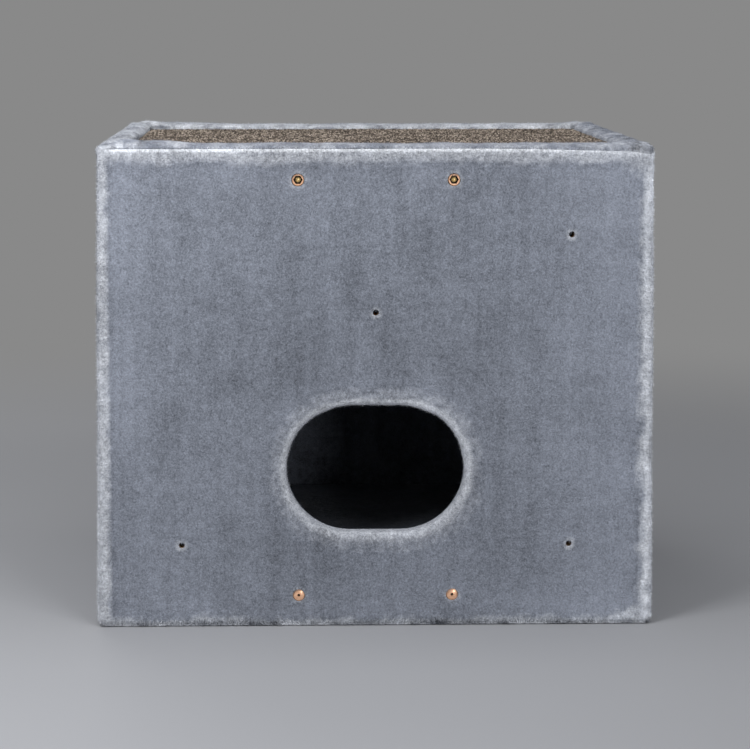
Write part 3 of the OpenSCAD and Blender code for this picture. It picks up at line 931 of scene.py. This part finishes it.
def rim_nap(size, point):
    """The same on the rolled rim, where the pile is blotched all over, with painted light and shade: paler on
    the back and left rims, darker in the corner tucks, in pits and on the outer slope of the right rim.
    """
    inset_x, inset_y = insets(size, point)
    tilt = 1.0 - 2.0 * min(inset_x, inset_y) / size.rim_width
    stray = Vector((noise.noise(point * 60.0), noise.noise(point * 60.0 + Vector((7.0, 0.0, 0.0))), 0.0))
    blotch = 0.34 * noise.noise(point * 40.0) + 0.20 * noise.noise(point * 120.0)
    # Painted light: the back and left rims are paler than the front one.
    pale = 0.12
    if point.y > size.half_d - size.rim_width:
        pale = 0.42
    elif point.x < -size.half_w + size.rim_width:
        pale = 0.38
    opened_and_lit = clamp(pale + 0.14 * max(-tilt, 0.0) + blotch, 0.0, 0.75)
    # Painted shade in the corner tucks and in pits.
    crease = 1.9 * bell(corner_fold(size, point), 0.0036)
    crease *= 1.0 - fade(max(inset_x, inset_y), 0.008, 0.016)
    pit_shade = max(noise.noise(point * 52.0 + Vector((0.0, 9.0, 0.0))) - 0.18, 0.0)
    crease += (3.0 - 3.5 * (pale - 0.12)) * pit_shade
    # Painted shade on the outer slope of the right rim.
    if point.x > size.half_w - size.rim_width:
        crease += 1.2 * max(tilt - 0.45, 0.0)
    flow = sideways(point, inset_y < inset_x) * tilt + stray * 0.8 + UP * (0.01 - 1.5 * max(tilt - 0.6, 0.0))
    return opened_and_lit, flow.normalized(), 0.22, clamp(crease, 0.0, 2.0)


def hem_nap(size, point):
    """The same along the ground, where tufts of pile stand out from the wall and curl over its cover; darker
    between the tufts as painted shade and at the ground as a painted contact shadow.
    """
    tuft = noise.noise(point * 130.0) + 0.7 * noise.noise(point * 42.0)
    lean = 1.6 * noise.noise(point * 75.0 + Vector((3.0, 0.0, 0.0)))
    inset_x, inset_y = insets(size, point)
    flow = Vector((0.0, lean, 1.3)) if inset_x < inset_y else Vector((lean, 0.0, 1.3))
    # Painted shade between the tufts and a painted contact shadow right at the ground.
    crease = clamp(-1.4 * tuft, 0.0, 1.1) + 1.8 * fade(point.z, 0.0006, 0.0015)
    return clamp(0.55 + 0.50 * tuft, 0.0, 0.95), flow.normalized(), 0.2, crease


def on_cover(size, point, normal):
    """True on the outside of a wall cover or hem."""
    reach_x, reach_y = size.half_w - 0.02, size.half_d - 0.02
    way = point - Vector((clamp(point.x, -reach_x, reach_x), clamp(point.y, -reach_y, reach_y), point.z))
    return way.length > 0.0 and normal.dot(way.normalized()) > 0.35


def on_hem(size, point, normal):
    """True on the outside of a hem, above the ground."""
    return on_cover(size, point, normal) and point.z > 0.0009


def on_rim(size, point, normal):
    """True on the outside of the rolled rim."""
    inset_x, inset_y = insets(size, point)
    way = sideways(point, inset_y < inset_x) * (size.rim_width / 2 - min(inset_x, inset_y))
    way += UP * (2.0 * (point.z - size.wall_top + 0.004))
    return normal.dot(way) > 0.0 and point.z > size.rim_low + 0.003


def dress(piece, rule, outside):
    """Gives a cloth the attributes of its colour and its strands. Outside says where strands grow."""
    mesh = piece.data
    values = {"open": [], "flow": [], "stand": [], "crease": [], "field": [], "border": []}
    for vertex in mesh.vertices:
        opened_and_lit, flow, stand, crease = rule(vertex.co)
        grows = 1.0 if outside(vertex.co, vertex.normal) else 0.0
        values["open"].append(opened_and_lit)
        values["flow"].extend(flow)
        values["stand"].append(stand)
        values["crease"].append(crease)
        values["field"].append(grows)
        values["border"].append(grows * min(2.0 * opened_and_lit, 1.0))
    for name, numbers in values.items():
        kind, key = ("FLOAT_VECTOR", "vector") if name == "flow" else ("FLOAT", "value")
        mesh.attributes.new(name, kind, "POINT").data.foreach_set(key, numbers)


def bent_strand(name):
    """One strand of pile, one unit long: a bent, pointed blade."""
    points = [(-0.045, 0, 0), (0.045, 0, 0), (-0.0315, 0.05, 0.55), (0.0315, 0.05, 0.55), (0, 0.19, 1)]
    return strand(name, points, [(0, 1, 3, 2), (2, 3, 4)])


def straight_strand(name):
    """One strand of the short nap, one unit long."""
    return strand(name, [(-0.045, 0, 0), (0.045, 0, 0), (0, 0.12, 1)], [(0, 1, 2)])


def strand(name, points, faces):
    """Object of a strand, whose attribute tip is its height."""
    mesh = bpy.data.meshes.new(name)
    mesh.from_pydata(points, [], faces)
    tips = [float(height) for _, _, height in points]
    mesh.attributes.new("tip", "FLOAT", "POINT").data.foreach_set("value", tips)
    return new_object(name, mesh)


def pile_tree(name):
    """Strands scattered over a cloth, as dense as an attribute of it says, along its flow."""
    inputs = {"Cloth": "Geometry", "Strand": "Object", "Weight": "String", "Density": "Float"}
    inputs.update({"Length": "Float", "Spread": "Float", "Seed": "Int", "Finish": "Material"})
    graph, given, result = tree_of(name, "GeometryNodeTree", inputs, {"Pile": "Geometry"})
    density = graph.times(graph.named(given["Weight"]), given["Density"])
    points = graph.add(
        "GeometryNodeDistributePointsOnFaces",
        {"Mesh": given["Cloth"], "Density": density, "Seed": given["Seed"]},
        distribute_method="RANDOM",
    ).outputs
    stand = graph.named("stand")
    stray = graph.random_vector((0.45, 0.45, 0.45), given["Seed"])
    rising = graph.vector("SCALE", points["Normal"], stand)
    lying = graph.vector("SCALE", graph.named("flow", "FLOAT_VECTOR"), graph.calc("SUBTRACT", 1.0, stand))
    heading = graph.vector("ADD", graph.vector("ADD", rising, lying), stray)
    rotation = graph.out("FunctionNodeAlignRotationToVector", {"Vector": heading}, axis="Z")
    twist = graph.about_z(graph.random(0.0, math.tau, 11))
    rotation = graph.out("FunctionNodeRotateRotation", {0: rotation, 1: twist}, rotation_space="LOCAL")
    low, high = graph.calc("SUBTRACT", 1.0, given["Spread"]), graph.plus(1.0, given["Spread"])
    size = graph.times(graph.random(low, high, 23), given["Length"])
    tone = graph.random(-0.5, 0.5, 31)
    grown = graph.repeat(
        points["Points"], given["Strand"], given["Finish"], tone, Rotation=rotation, Scale=size
    )
    graph.fill(result, {"Pile": grown})
    return graph.tree


def grow(name, mesh, tree, values, keep):
    """Runs a node tree on a mesh and makes the result a plain object, with only the kept attributes."""
    piece = new_object(name, mesh.copy())
    modifier = piece.modifiers.new("grow", "NODES")
    modifier.node_group = tree
    sockets = {item.name: item.identifier for item in tree.interface.items_tree if item.in_out == "INPUT"}
    for key, value in values.items():
        modifier[sockets[key]] = value
    plain_mesh(piece)
    layers = piece.data.attributes
    spare = [layer.name for layer in layers if not layer.is_internal and not layer.is_required]
    for layer in spare:
        if layer not in keep:
            layers.remove(layers[layer])
    piece.data.materials.clear()
    piece.data.materials.append(values["Finish"])
    return piece


def pile(name, cloth, weight, density, stretch, seed, make=bent_strand):
    """Strands of pile on a dressed cloth, as one piece."""
    values = {
        "Strand": kept(bpy.data.objects, make.__name__, make),
        "Weight": weight,
        "Density": density,
        "Length": bpy.context.scene.condo_plush.pile_length * stretch,
        "Spread": 0.35,
        "Seed": seed,
        "Finish": cloth.data.materials[0],
    }
    tree = kept(bpy.data.node_groups, "Pile", pile_tree)
    return settle(grow(name, cloth.data, tree, values, {"open", "crease", "tip", "tone"}), "plush")


def settle(piece, slot, *nodes):
    """A finished piece rides on the box and hides the solids that it stands for; its slot is not used."""
    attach(piece, "root")
    if nodes:
        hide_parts(*nodes)
    return piece


def cover_section(size, heights):
    """Section of a wall cover: soft outside, rolled in at its top and bottom, flat against the board."""
    low, high, sunk = size.cover_low, size.fold, size.backing
    outer = [(0.0032, low, 0.0), (sunk + 0.0005, low + 0.0008, 0.5)]
    outer += [(sunk, z, 1.0) for z in heights if low + 0.002 < z < high - 0.008]
    outer += [(sunk - 0.0004, high - 0.0065, 1.0), (sunk - 0.0009, high - 0.0042, 1.0)]
    outer += [(sunk - 0.0008, high - 0.0020, 1.0), (sunk - 0.0002, high - 0.0005, 0.5)]
    return outer + [(sunk + 0.0004, high, 0.0), (size.plush, high, 0.0), (size.plush, low, 0.0)]


class CONDO_OT_covers(Operator):
    """Make the plush on the four walls, with its strands"""

    bl_idname = "condo.covers"
    bl_label = "Wall covers"

    def execute(self, context):
        size = condo_sizes()
        plush = context.scene.condo_plush
        holes = front_holes()
        seam = run_at(size, 3, size.half_d - size.cover_return)
        spans = {
            "front": (seam - 1.0, 2.0 - seam),
            "right": (2.0 - seam, 1.0 + seam),
            "back": (1.0 + seam, 4.0 - seam),
            "left": (4.0 - seam, 3.0 + seam),
        }
        count = round((size.fold - size.cover_low) / plush.grid)
        plain = [size.cover_low + (size.fold - size.cover_low) * k / count for k in range(1, count)]
        for k, (side, (start, end)) in enumerate(spans.items()):
            marks, heights = [], plain
            if side == "front":
                marks = [run_at(size, 0, x) for x in near({h[0][0] for h in holes})]
                heights = sorted({round(z, 5) for z in plain + near({h[0][1] for h in holes})})
            stops = places(size, start, end, plush.grid, marks)
            section = cover_section(size, heights)
            cover = sweep(size, side + "_plush", stops, section, partial(cover_lump, size, holes))
            if side == "front":
                door = door_points(size, context.scene.condo_entrance.lip_width)
                cut_front(cover, door, holes, -size.half_d, -size.half_d)
            dress(cover, partial(nap, size, holes), partial(on_cover, size))
            settle(cover, "plush", side + "_cover")
            field = pile(side + "_pile", cover, "field", plush.face_density, 0.75, 10 + k, straight_strand)
            border = pile(side + "_edge_pile", cover, "border", plush.edge_density, 0.8, 20 + k)
        return {"FINISHED"}


def rim_section(size):
    """Section of the rim: rolled over the wall's top, full on top, down to the mat's board inside."""
    fold, top, sunk = size.fold, size.height - 0.4 * size.backing, size.backing
    width = size.rim_width - sunk
    foot = fold + 0.0008
    outer = [(sunk + 0.0004, fold, 0.0), (sunk + 0.0001, fold + 0.0003, 0.5), (sunk, foot, 1.0)]
    steps = 18
    for k in range(1, steps):
        angle = math.radians(180.0 - 180.0 * k / steps)
        across = math.copysign(abs(math.cos(angle)) ** 0.95, math.cos(angle))
        rise = math.sin(angle) ** 0.9
        outer.append((sunk + width / 2 * (1.0 + across), foot + (top - foot) * rise, 1.0))
    outer += [(sunk + width, fold, 0.7), (sunk + width, size.rim_low, 0.0)]
    outer += [(size.wall, size.rim_low, 0.0), (size.wall, size.wall_top, 0.0)]
    return outer + [(size.plush, size.wall_top, 0.0), (size.plush, fold, 0.0)]


class CONDO_OT_rim(Operator):
    """Make the plush rolled over the wall tops, with its strands"""

    bl_idname = "condo.rim"
    bl_label = "Rim"

    def execute(self, context):
        size = condo_sizes()
        plush = context.scene.condo_plush
        section = rim_section(size)
        for side, name in enumerate(SIDES):
            half = half_run(size, side)
            tucks = [sign * (half - size.corner - 0.0018 * k) for sign in (-1, 1) for k in range(22)]
            marks = [side + run_at(size, side, along) for along in tucks]
            stops = places(size, side, side + 1, plush.grid, marks)
            rim = sweep(size, name + "_rim_plush", stops, section, partial(rim_lump, size))
            dress(rim, partial(rim_nap, size), partial(on_rim, size))
            settle(rim, "plush", name + "_rim")
            strands = pile(name + "_rim_pile", rim, "field", plush.edge_density, 0.55, 40 + side)
        return {"FINISHED"}


def staple(name):
    """Crown of one staple, laid along X and standing a little out of the cloth towards +Y."""
    bm = bmesh.new()
    box_solid(bm, (-0.005, -0.0005, -0.0006), (0.005, 0.0005, 0.0006))
    bmesh.ops.bevel(bm, geom=bm.edges[:], offset=0.0003, segments=1, affect="EDGES")
    return new_object(name, mesh_of(name, bm))


def staples_tree(name):
    """A staple on each point of a mesh, turned about Z by its attribute turn."""
    inputs = {"Places": "Geometry", "Staple": "Object", "Finish": "Material"}
    graph, given, result = tree_of(name, "GeometryNodeTree", inputs, {"Staples": "Geometry"})
    about = graph.about_z(graph.named("turn"))
    laid = graph.repeat(given["Places"], given["Staple"], given["Finish"], Rotation=about)
    graph.fill(result, {"Staples": laid})
    return graph.tree


class CONDO_OT_hems(Operator):
    """Make the plush turned under the walls, with its fringe and its staples"""

    bl_idname = "condo.hems"
    bl_label = "Hems"

    def execute(self, context):
        size = condo_sizes()
        plush = context.scene.condo_plush
        low, width, high, sunk = size.cover_low, size.hem_width, size.hem_high, size.backing
        section = [(sunk + 0.0006, low, 0.0), (sunk, low - 0.0005, 0.4), (sunk, low - 0.0014, 0.4)]
        section += [(sunk + 0.0008, 0.0004, 0.0), (sunk + 0.0025, 0.0, 0.0), (width - 0.001, 0.0, 0.0)]
        section += [(width, 0.001, 0.0), (width, high - 0.001, 0.0), (width - 0.001, high, 0.0)]
        section += [(size.wall, high, 0.0), (size.wall, low, 0.0)]
        studs, turns = [], []
        for side, name in enumerate(SIDES):
            stops = places(size, side, side + 1, 2.0 * plush.grid)
            hem = sweep(size, name + "_hem_plush", stops, section, partial(hem_lump, size))
            dress(hem, partial(hem_nap, size), partial(on_hem, size))
            settle(hem, "plush", name + "_hem")
            fringe = pile(name + "_hem_pile", hem, "field", 3.0 * plush.edge_density, 1.65, 60 + side)
            run = 2.0 * half_run(size, side)
            half = run / 2 - 2.0 * width
            count = round(2.0 * half / context.scene.condo_fittings.staple_pitch)
            for k in range(count + 1):
                x, y = outline(size, width, side + run_at(size, side, half * (2.0 * k / count - 1.0)))
                studs.append((x, y, 0.55 * high))
                turns.append(math.radians(90.0 * side))
        mesh = bpy.data.meshes.new("staple_places")
        mesh.from_pydata(studs, [], [])
        mesh.attributes.new("turn", "FLOAT", "POINT").data.foreach_set("value", turns)
        values = {"Staple": staple("staple"), "Finish": finishes()["steel"]}
        settle(grow("hem_staples", mesh, staples_tree("Staples"), values, set()), "steel")
        return {"FINISHED"}


def lip_section(size, radius, width):
    """Section of the entrance lip, of (gap from the clear edge, y): rolled at the front, thin at the back."""
    front, back, thick = size.lip_front + size.backing, size.lip_back, size.plush
    section = [(width, front), (width * 0.8, front)]
    for k in range(7):
        angle = math.radians(90.0 * k / 6)
        section.append((radius * (1.0 - math.sin(angle)), front + radius * (1.0 - math.cos(angle))))
    section += [(-0.0003, (front + radius + back) / 2), (0.0, back - 0.002), (0.0008, back - 0.0006)]
    return section + [(0.0020, back), (thick, back), (thick, front + thick), (width, front + thick)]


class CONDO_OT_lip(Operator):
    """Make the plush rolled through the entrance, with its strands"""

    bl_idname = "condo.lip"
    bl_label = "Entrance lip"

    def execute(self, context):
        size = condo_sizes()
        entrance = context.scene.condo_entrance
        radius, width, reach = entrance.lip_radius, entrance.lip_width, size.door_reach
        front, back, thick = size.lip_front + size.backing, size.lip_back, size.plush
        section = lip_section(size, radius, width)
        steps = 26
        outer = [door_points(size, gap, steps) for gap, _ in section]
        rows = []
        for k in range(len(outer[0])):
            row = []
            for (gap, y), points in zip(section, outer):
                x, z = points[k]
                if z > size.door_z and gap < thick:
                    sag = math.cos(math.pi * x / (2.0 * reach))
                    z += 0.0010 * sag * fade(abs(x), 2.0 * reach, 2.8 * reach)
                point = Vector((x, y, z))
                hidden = gap >= thick and y > front + 0.001
                if front < y < back - 0.003 and gap < width - 0.0005 and not hidden:
                    middle = Vector((clamp(x, -reach, reach), front + 1.3 * radius, size.door_z))
                    away = (point - middle).normalized()
                    point -= Vector((away.x, 0.0, away.z)) * max(1.6 * face_lump(point), -0.0004)
                row.append(point)
            rows.append(row)
        straight = []
        for k, row in enumerate(rows):
            straight.append(row)
            if k in (steps, 2 * steps + 1):
                following = rows[(k + 1) % len(rows)]
                for j in range(1, 10):
                    straight.append([a.lerp(b, j / 10) for a, b in zip(row, following)])
        lip = finish_mesh("entrance_lip_plush", loft(straight, True), outer_plush())

        def outside(point, _normal):
            gap = door_gap(size, point.x, point.z)
            return point.y < back - 0.004 and (gap < thick - 0.001 or point.y < front + 0.002)

        dress(lip, partial(nap, size, []), outside)
        settle(lip, "plush", "entrance_lip")
        density = 1.6 * context.scene.condo_plush.edge_density
        strands = pile("entrance_lip_pile", lip, "field", density, 0.6, 80)
        return {"FINISHED"}


def pad(name, low, high, axis, sign, step, edge, swell, material):
    """Closed flat cloth that fills a box, with a soft face towards one side of it and rounded edges."""
    first, second = [k for k in range(3) if k != axis]
    rounding = [edge * (1.0 - math.cos(math.radians(30.0 * j))) for j in range(3)]
    lines = []
    for k in (first, second):
        span = high[k] - low[k]
        count = max(2, round(span / step))
        inner = [low[k] + edge + (span - 2 * edge) * j / count for j in range(count + 1)]
        lines.append([low[k] + r for r in rounding] + inner + [high[k] - r for r in reversed(rounding)])
    top, bottom = (high[axis], low[axis]) if sign > 0 else (low[axis], high[axis])
    bm = bmesh.new()
    grid = []
    for a in lines[0]:
        row = []
        for b in lines[1]:
            point = Vector()
            point[first], point[second], point[axis] = a, b, top
            rim = min(a - low[first], high[first] - a, b - low[second], high[second] - b)
            drop = -swell * noise.noise(point * 30.0)
            if rim < edge:
                drop = edge - math.sqrt(max(edge * edge - (edge - rim) ** 2, 0.0))
            point[axis] -= sign * drop
            row.append(bm.verts.new(point))
        grid.append(row)
    for row, following in zip(grid, grid[1:]):
        for j in range(len(row) - 1):
            bm.faces.new((row[j], following[j], following[j + 1], row[j + 1]))
    border = grid[0] + [row[-1] for row in grid[1:]] + grid[-1][-2::-1] + [row[0] for row in grid[-2:0:-1]]
    under = []
    for vertex in border:
        point = vertex.co.copy()
        point[axis] = bottom
        under.append(bm.verts.new(point))
    join(bm, border, under)
    bm.faces.new(under)
    return finish_mesh(name, bm, material)


def box_solid(bm, low, high):
    """Adds a plain box."""
    for vertex in bmesh.ops.create_cube(bm, size=1.0)["verts"]:
        vertex.co = Vector((a + b) / 2 + c * (b - a) for a, b, c in zip(low, high, vertex.co))


class CONDO_OT_lining(Operator):
    """Make the plush inside the walls and over the floor board"""

    bl_idname = "condo.lining"
    bl_label = "Lining"

    def execute(self, context):
        size = condo_sizes()
        plush = lining_plush()
        for name, axis, sign in (("front", 1, 1), ("back", 1, -1), ("left", 0, 1), ("right", 0, -1)):
            low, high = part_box(name + "_lining")
            piece = name + "_lining_plush"
            lining = pad(piece, low, high, axis, sign, LINING_STEP, 0.0025, LINING_SWELL, plush)
            if name == "front":
                bores = [hole for hole in front_holes() if hole[2] == "plain"]
                cut_front(lining, door_points(size, 0.0035), bores, low.y, high.y)
            settle(lining, "lining", name + "_lining")
        low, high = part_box("floor_cover")
        floor = pad("floor_plush", low, high, 2, 1, LINING_STEP, 0.002, LINING_SWELL, plush)
        board_low, board_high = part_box("floor_panel")
        cutters = bmesh.new()
        box_solid(cutters, board_low - UP * 0.01, board_high)
        cut(floor, cutters)
        settle(floor, "lining", "floor_cover")
        return {"FINISHED"}


def loop(name):
    """One stitch of the mat, one unit long and high: a low bead with a square foot and a turned crown."""
    bm = bmesh.new()
    foot, crown = [], []
    for k in range(4):
        low, high = math.radians(90 * k), math.radians(90 * k + 45)
        foot.append(bm.verts.new((0.68 * math.cos(low), 0.60 * math.sin(low), -0.1)))
        crown.append(bm.verts.new((0.34 * math.cos(high), 0.26 * math.sin(high), 1.0)))
    bm.faces.new(crown)
    for k in range(4):
        n = (k + 1) % 4
        bm.faces.new((foot[k], foot[n], crown[k]))
        bm.faces.new((foot[n], crown[n], crown[k]))
    mesh = mesh_of(name, bm)
    smooth(mesh, False)
    return new_object(name, mesh)


def loops_tree(name):
    """A stitch on each point of a mesh, each turned, sized and toned a little differently."""
    inputs = {"Places": "Geometry", "Loop": "Object", "Pitch": "Float", "Row": "Float"}
    inputs.update({"Height": "Float", "Seed": "Int", "Finish": "Material"})
    graph, given, result = tree_of(name, "GeometryNodeTree", inputs, {"Loops": "Geometry"})
    turn = graph.random_vector((0.15, 0.15, 0.3), given["Seed"])
    rotation = graph.out("FunctionNodeEulerToRotation", {0: turn})
    grow_by = graph.random(0.85, 1.12, 5)
    wide, deep = graph.times(given["Pitch"], grow_by), graph.times(given["Row"], grow_by)
    tall = graph.times(given["Height"], graph.random(0.78, 1.1, 7))
    scale = graph.out("ShaderNodeCombineXYZ", {0: wide, 1: deep, 2: tall})
    tone = graph.random(-0.45, 0.45, 13)
    laid = graph.repeat(
        given["Places"], given["Loop"], given["Finish"], tone, Rotation=rotation, Scale=scale
    )
    graph.fill(result, {"Loops": laid})
    return graph.tree


class CONDO_OT_mat(Operator):
    """Make the scratching mat, its backing and its stitches"""

    bl_idname = "condo.mat"
    bl_label = "Scratching mat"

    def execute(self, context):
        mat = context.scene.condo_mat
        sisal = kept(bpy.data.materials, "Sisal", sisal_material)
        low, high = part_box("scratch_mat")
        base = high.z - 0.6 * mat.loop_height - 0.0006
        backing = pad("mat_backing", low, Vector((high.x, high.y, base)), 2, 1, 0.02, 0.001, 0.0, sisal)
        settle(backing, "sisal", "scratch_mat")
        columns = int((high.x - low.x - 0.6 * mat.pitch) / mat.pitch)
        rows = int((high.y - low.y - 0.6 * mat.row) / mat.row)
        points = []
        for j in range(rows):
            shift = 0.25 if j % 2 else -0.25
            y = (j - (rows - 1) / 2) * mat.row
            for k in range(columns):
                x = (k - (columns - 1) / 2 + shift) * mat.pitch
                points.append((x + (low.x + high.x) / 2, y + (low.y + high.y) / 2, base - 0.0003))
        mesh = bpy.data.meshes.new("mat_places")
        mesh.from_pydata(points, [], [])
        values = {
            "Loop": loop("loop"),
            "Pitch": mat.pitch,
            "Row": mat.row,
            "Height": 0.8 * mat.loop_height,
            "Seed": 3,
            "Finish": sisal,
        }
        loops = grow("mat_loops", mesh, loops_tree("Mat loops"), values, {"tone"})
        settle(loops, "sisal")
        return {"FINISHED"}


class CONDO_OT_fittings(Operator):
    """Give the boards, battens, bolts and screws their finishes"""

    bl_idname = "condo.fittings"
    bl_label = "Boards and fittings"

    def execute(self, context):
        made = finishes()
        for part in frame["record"]["subparts"]:
            if part["material_slot"] in made:
                mesh = frame["nodes"][part["node"]].data
                mesh.materials.clear()
                mesh.materials.append(made[part["material_slot"]])
        return {"FINISHED"}


def floor_material(stage):
    """Pale floor that runs out into the plain background away from the box."""
    material, graph, shader, position = new_material("Pale floor")
    haze = graph.noise(position, 1.2, 2.0)
    graph.fill(shader, {
        "Base Color": graph.shaded(0.12, rgba(stage.floor), haze),
        "Roughness": 0.7,
        "Specular IOR Level": 0.2,
    })
    away = graph.out("ShaderNodeVectorMath", {0: position}, "Value", operation="LENGTH")
    reach = stage.floor_reach
    far = graph.remap(away, reach, 2.6 * reach, interpolation_type="SMOOTHSTEP")
    path = graph.add("ShaderNodeLightPath").outputs
    seen = graph.calc("MAXIMUM", path["Is Camera Ray"], path["Is Glossy Ray"])
    plain = graph.out("ShaderNodeEmission", {"Color": rgba(stage.backdrop), "Strength": 1.0})
    mixed = graph.out("ShaderNodeMixShader", {0: graph.times(far, seen), 1: shader.outputs[0], 2: plain})
    graph.fill(material.node_tree.nodes["Material Output"], {"Surface": mixed})
    return material


class CONDO_OT_stage(Operator):
    """Make the floor, the lights and the camera"""

    bl_idname = "condo.stage"
    bl_label = "Floor, lights and camera"

    def area_light(self, name, place, aim, width, depth, power):
        data = bpy.data.lights.new(name, "AREA")
        data.shape = "RECTANGLE"
        data.size, data.size_y, data.energy = width, depth, power
        lamp = new_object(name, data)
        lamp.location = place
        lamp.rotation_euler = (Vector(aim) - Vector(place)).to_track_quat("-Z", "Y").to_euler()

    def studio_world(self, stage):
        world = bpy.data.worlds.new("studio")
        world.use_nodes = True
        graph = Graph(world.node_tree)
        light = graph.out("ShaderNodeBackground", {"Color": (1.0, 1.0, 1.0, 1.0), "Strength": stage.ambient})
        seen = graph.out("ShaderNodeBackground", {"Color": rgba(stage.backdrop), "Strength": 1.0})
        by_camera = graph.out("ShaderNodeLightPath", socket="Is Camera Ray")
        mixed = graph.out("ShaderNodeMixShader", {0: by_camera, 1: light, 2: seen})
        graph.fill(world.node_tree.nodes["World Output"], {"Surface": mixed})
        return world

    def execute(self, context):
        stage = context.scene.condo_stage
        context.scene.view_settings.view_transform = "Standard"
        bm = bmesh.new()
        bmesh.ops.create_circle(bm, cap_ends=True, segments=96, radius=9.0)
        floor = finish_mesh("floor", bm, floor_material(stage))
        self.area_light("key", (1.5, -2.7, 2.5), (0.0, 0.0, 0.25), 1.6, 1.4, stage.key)
        self.area_light("fill", (-0.75, -1.1, 1.05), (-0.15, -0.25, 0.4), 0.6, 0.6, stage.fill)
        self.area_light("low", (0.90, -2.6, 0.46), (-0.1, 0.0, 0.12), 0.4, 0.3, stage.low)
        self.area_light("top", (0.0, -0.5, 2.6), (0.0, -0.1, 0.0), 2.4, 2.0, stage.top)
        self.area_light("back", (-1.1, 2.4, 1.3), (0.0, 0.25, 0.25), 1.4, 1.2, stage.back)
        context.scene.world = self.studio_world(stage)
        data = bpy.data.cameras.new("camera")
        data.lens = stage.camera_lens
        data.shift_x = stage.camera_side
        data.shift_y = stage.camera_shift
        camera = new_object("camera", data)
        camera.location = stage.camera_place
        camera.rotation_euler = (math.pi / 2 - stage.camera_tilt, 0.0, -stage.camera_turn)
        context.scene.camera = camera
        return {"FINISHED"}


OPERATORS = (
    CONDO_OT_stage,
    CONDO_OT_fittings,
    CONDO_OT_covers,
    CONDO_OT_rim,
    CONDO_OT_hems,
    CONDO_OT_lip,
    CONDO_OT_lining,
    CONDO_OT_mat,
)


class CONDO_PT_panel(Panel):
    """Pieces of the cat condo, in the order in which they are made"""

    bl_idname = "CONDO_PT_panel"
    bl_label = "Cat Condo"
    bl_space_type = "VIEW_3D"
    bl_region_type = "UI"
    bl_category = "Condo"

    def draw(self, context):
        for operator in OPERATORS:
            self.layout.operator(operator.bl_idname)
        for name, group in SETTINGS.items():
            box = self.layout.box()
            box.label(text=group.__doc__)
            for key in group.__annotations__:
                box.prop(getattr(context.scene, name), key)


def register():
    for name, group in SETTINGS.items():
        bpy.utils.register_class(group)
        setattr(bpy.types.Scene, name, PointerProperty(type=group))
    for operator in OPERATORS:
        bpy.utils.register_class(operator)
    bpy.utils.register_class(CONDO_PT_panel)


def unregister():
    bpy.utils.unregister_class(CONDO_PT_panel)
    for operator in reversed(OPERATORS):
        bpy.utils.unregister_class(operator)
    for name, group in SETTINGS.items():
        delattr(bpy.types.Scene, name)
        bpy.utils.unregister_class(group)


def main():
    """Makes the scene."""
    register()
    for operator in OPERATORS:
        family, action = operator.bl_idname.split(".")
        getattr(getattr(bpy.ops, family), action)()
    for name in ("bent_strand", "straight_strand", "loop", "staple"):
        bpy.data.objects.remove(bpy.data.objects[name])
    bpy.context.view_layer.update()


if __name__ == "__main__":
    main()
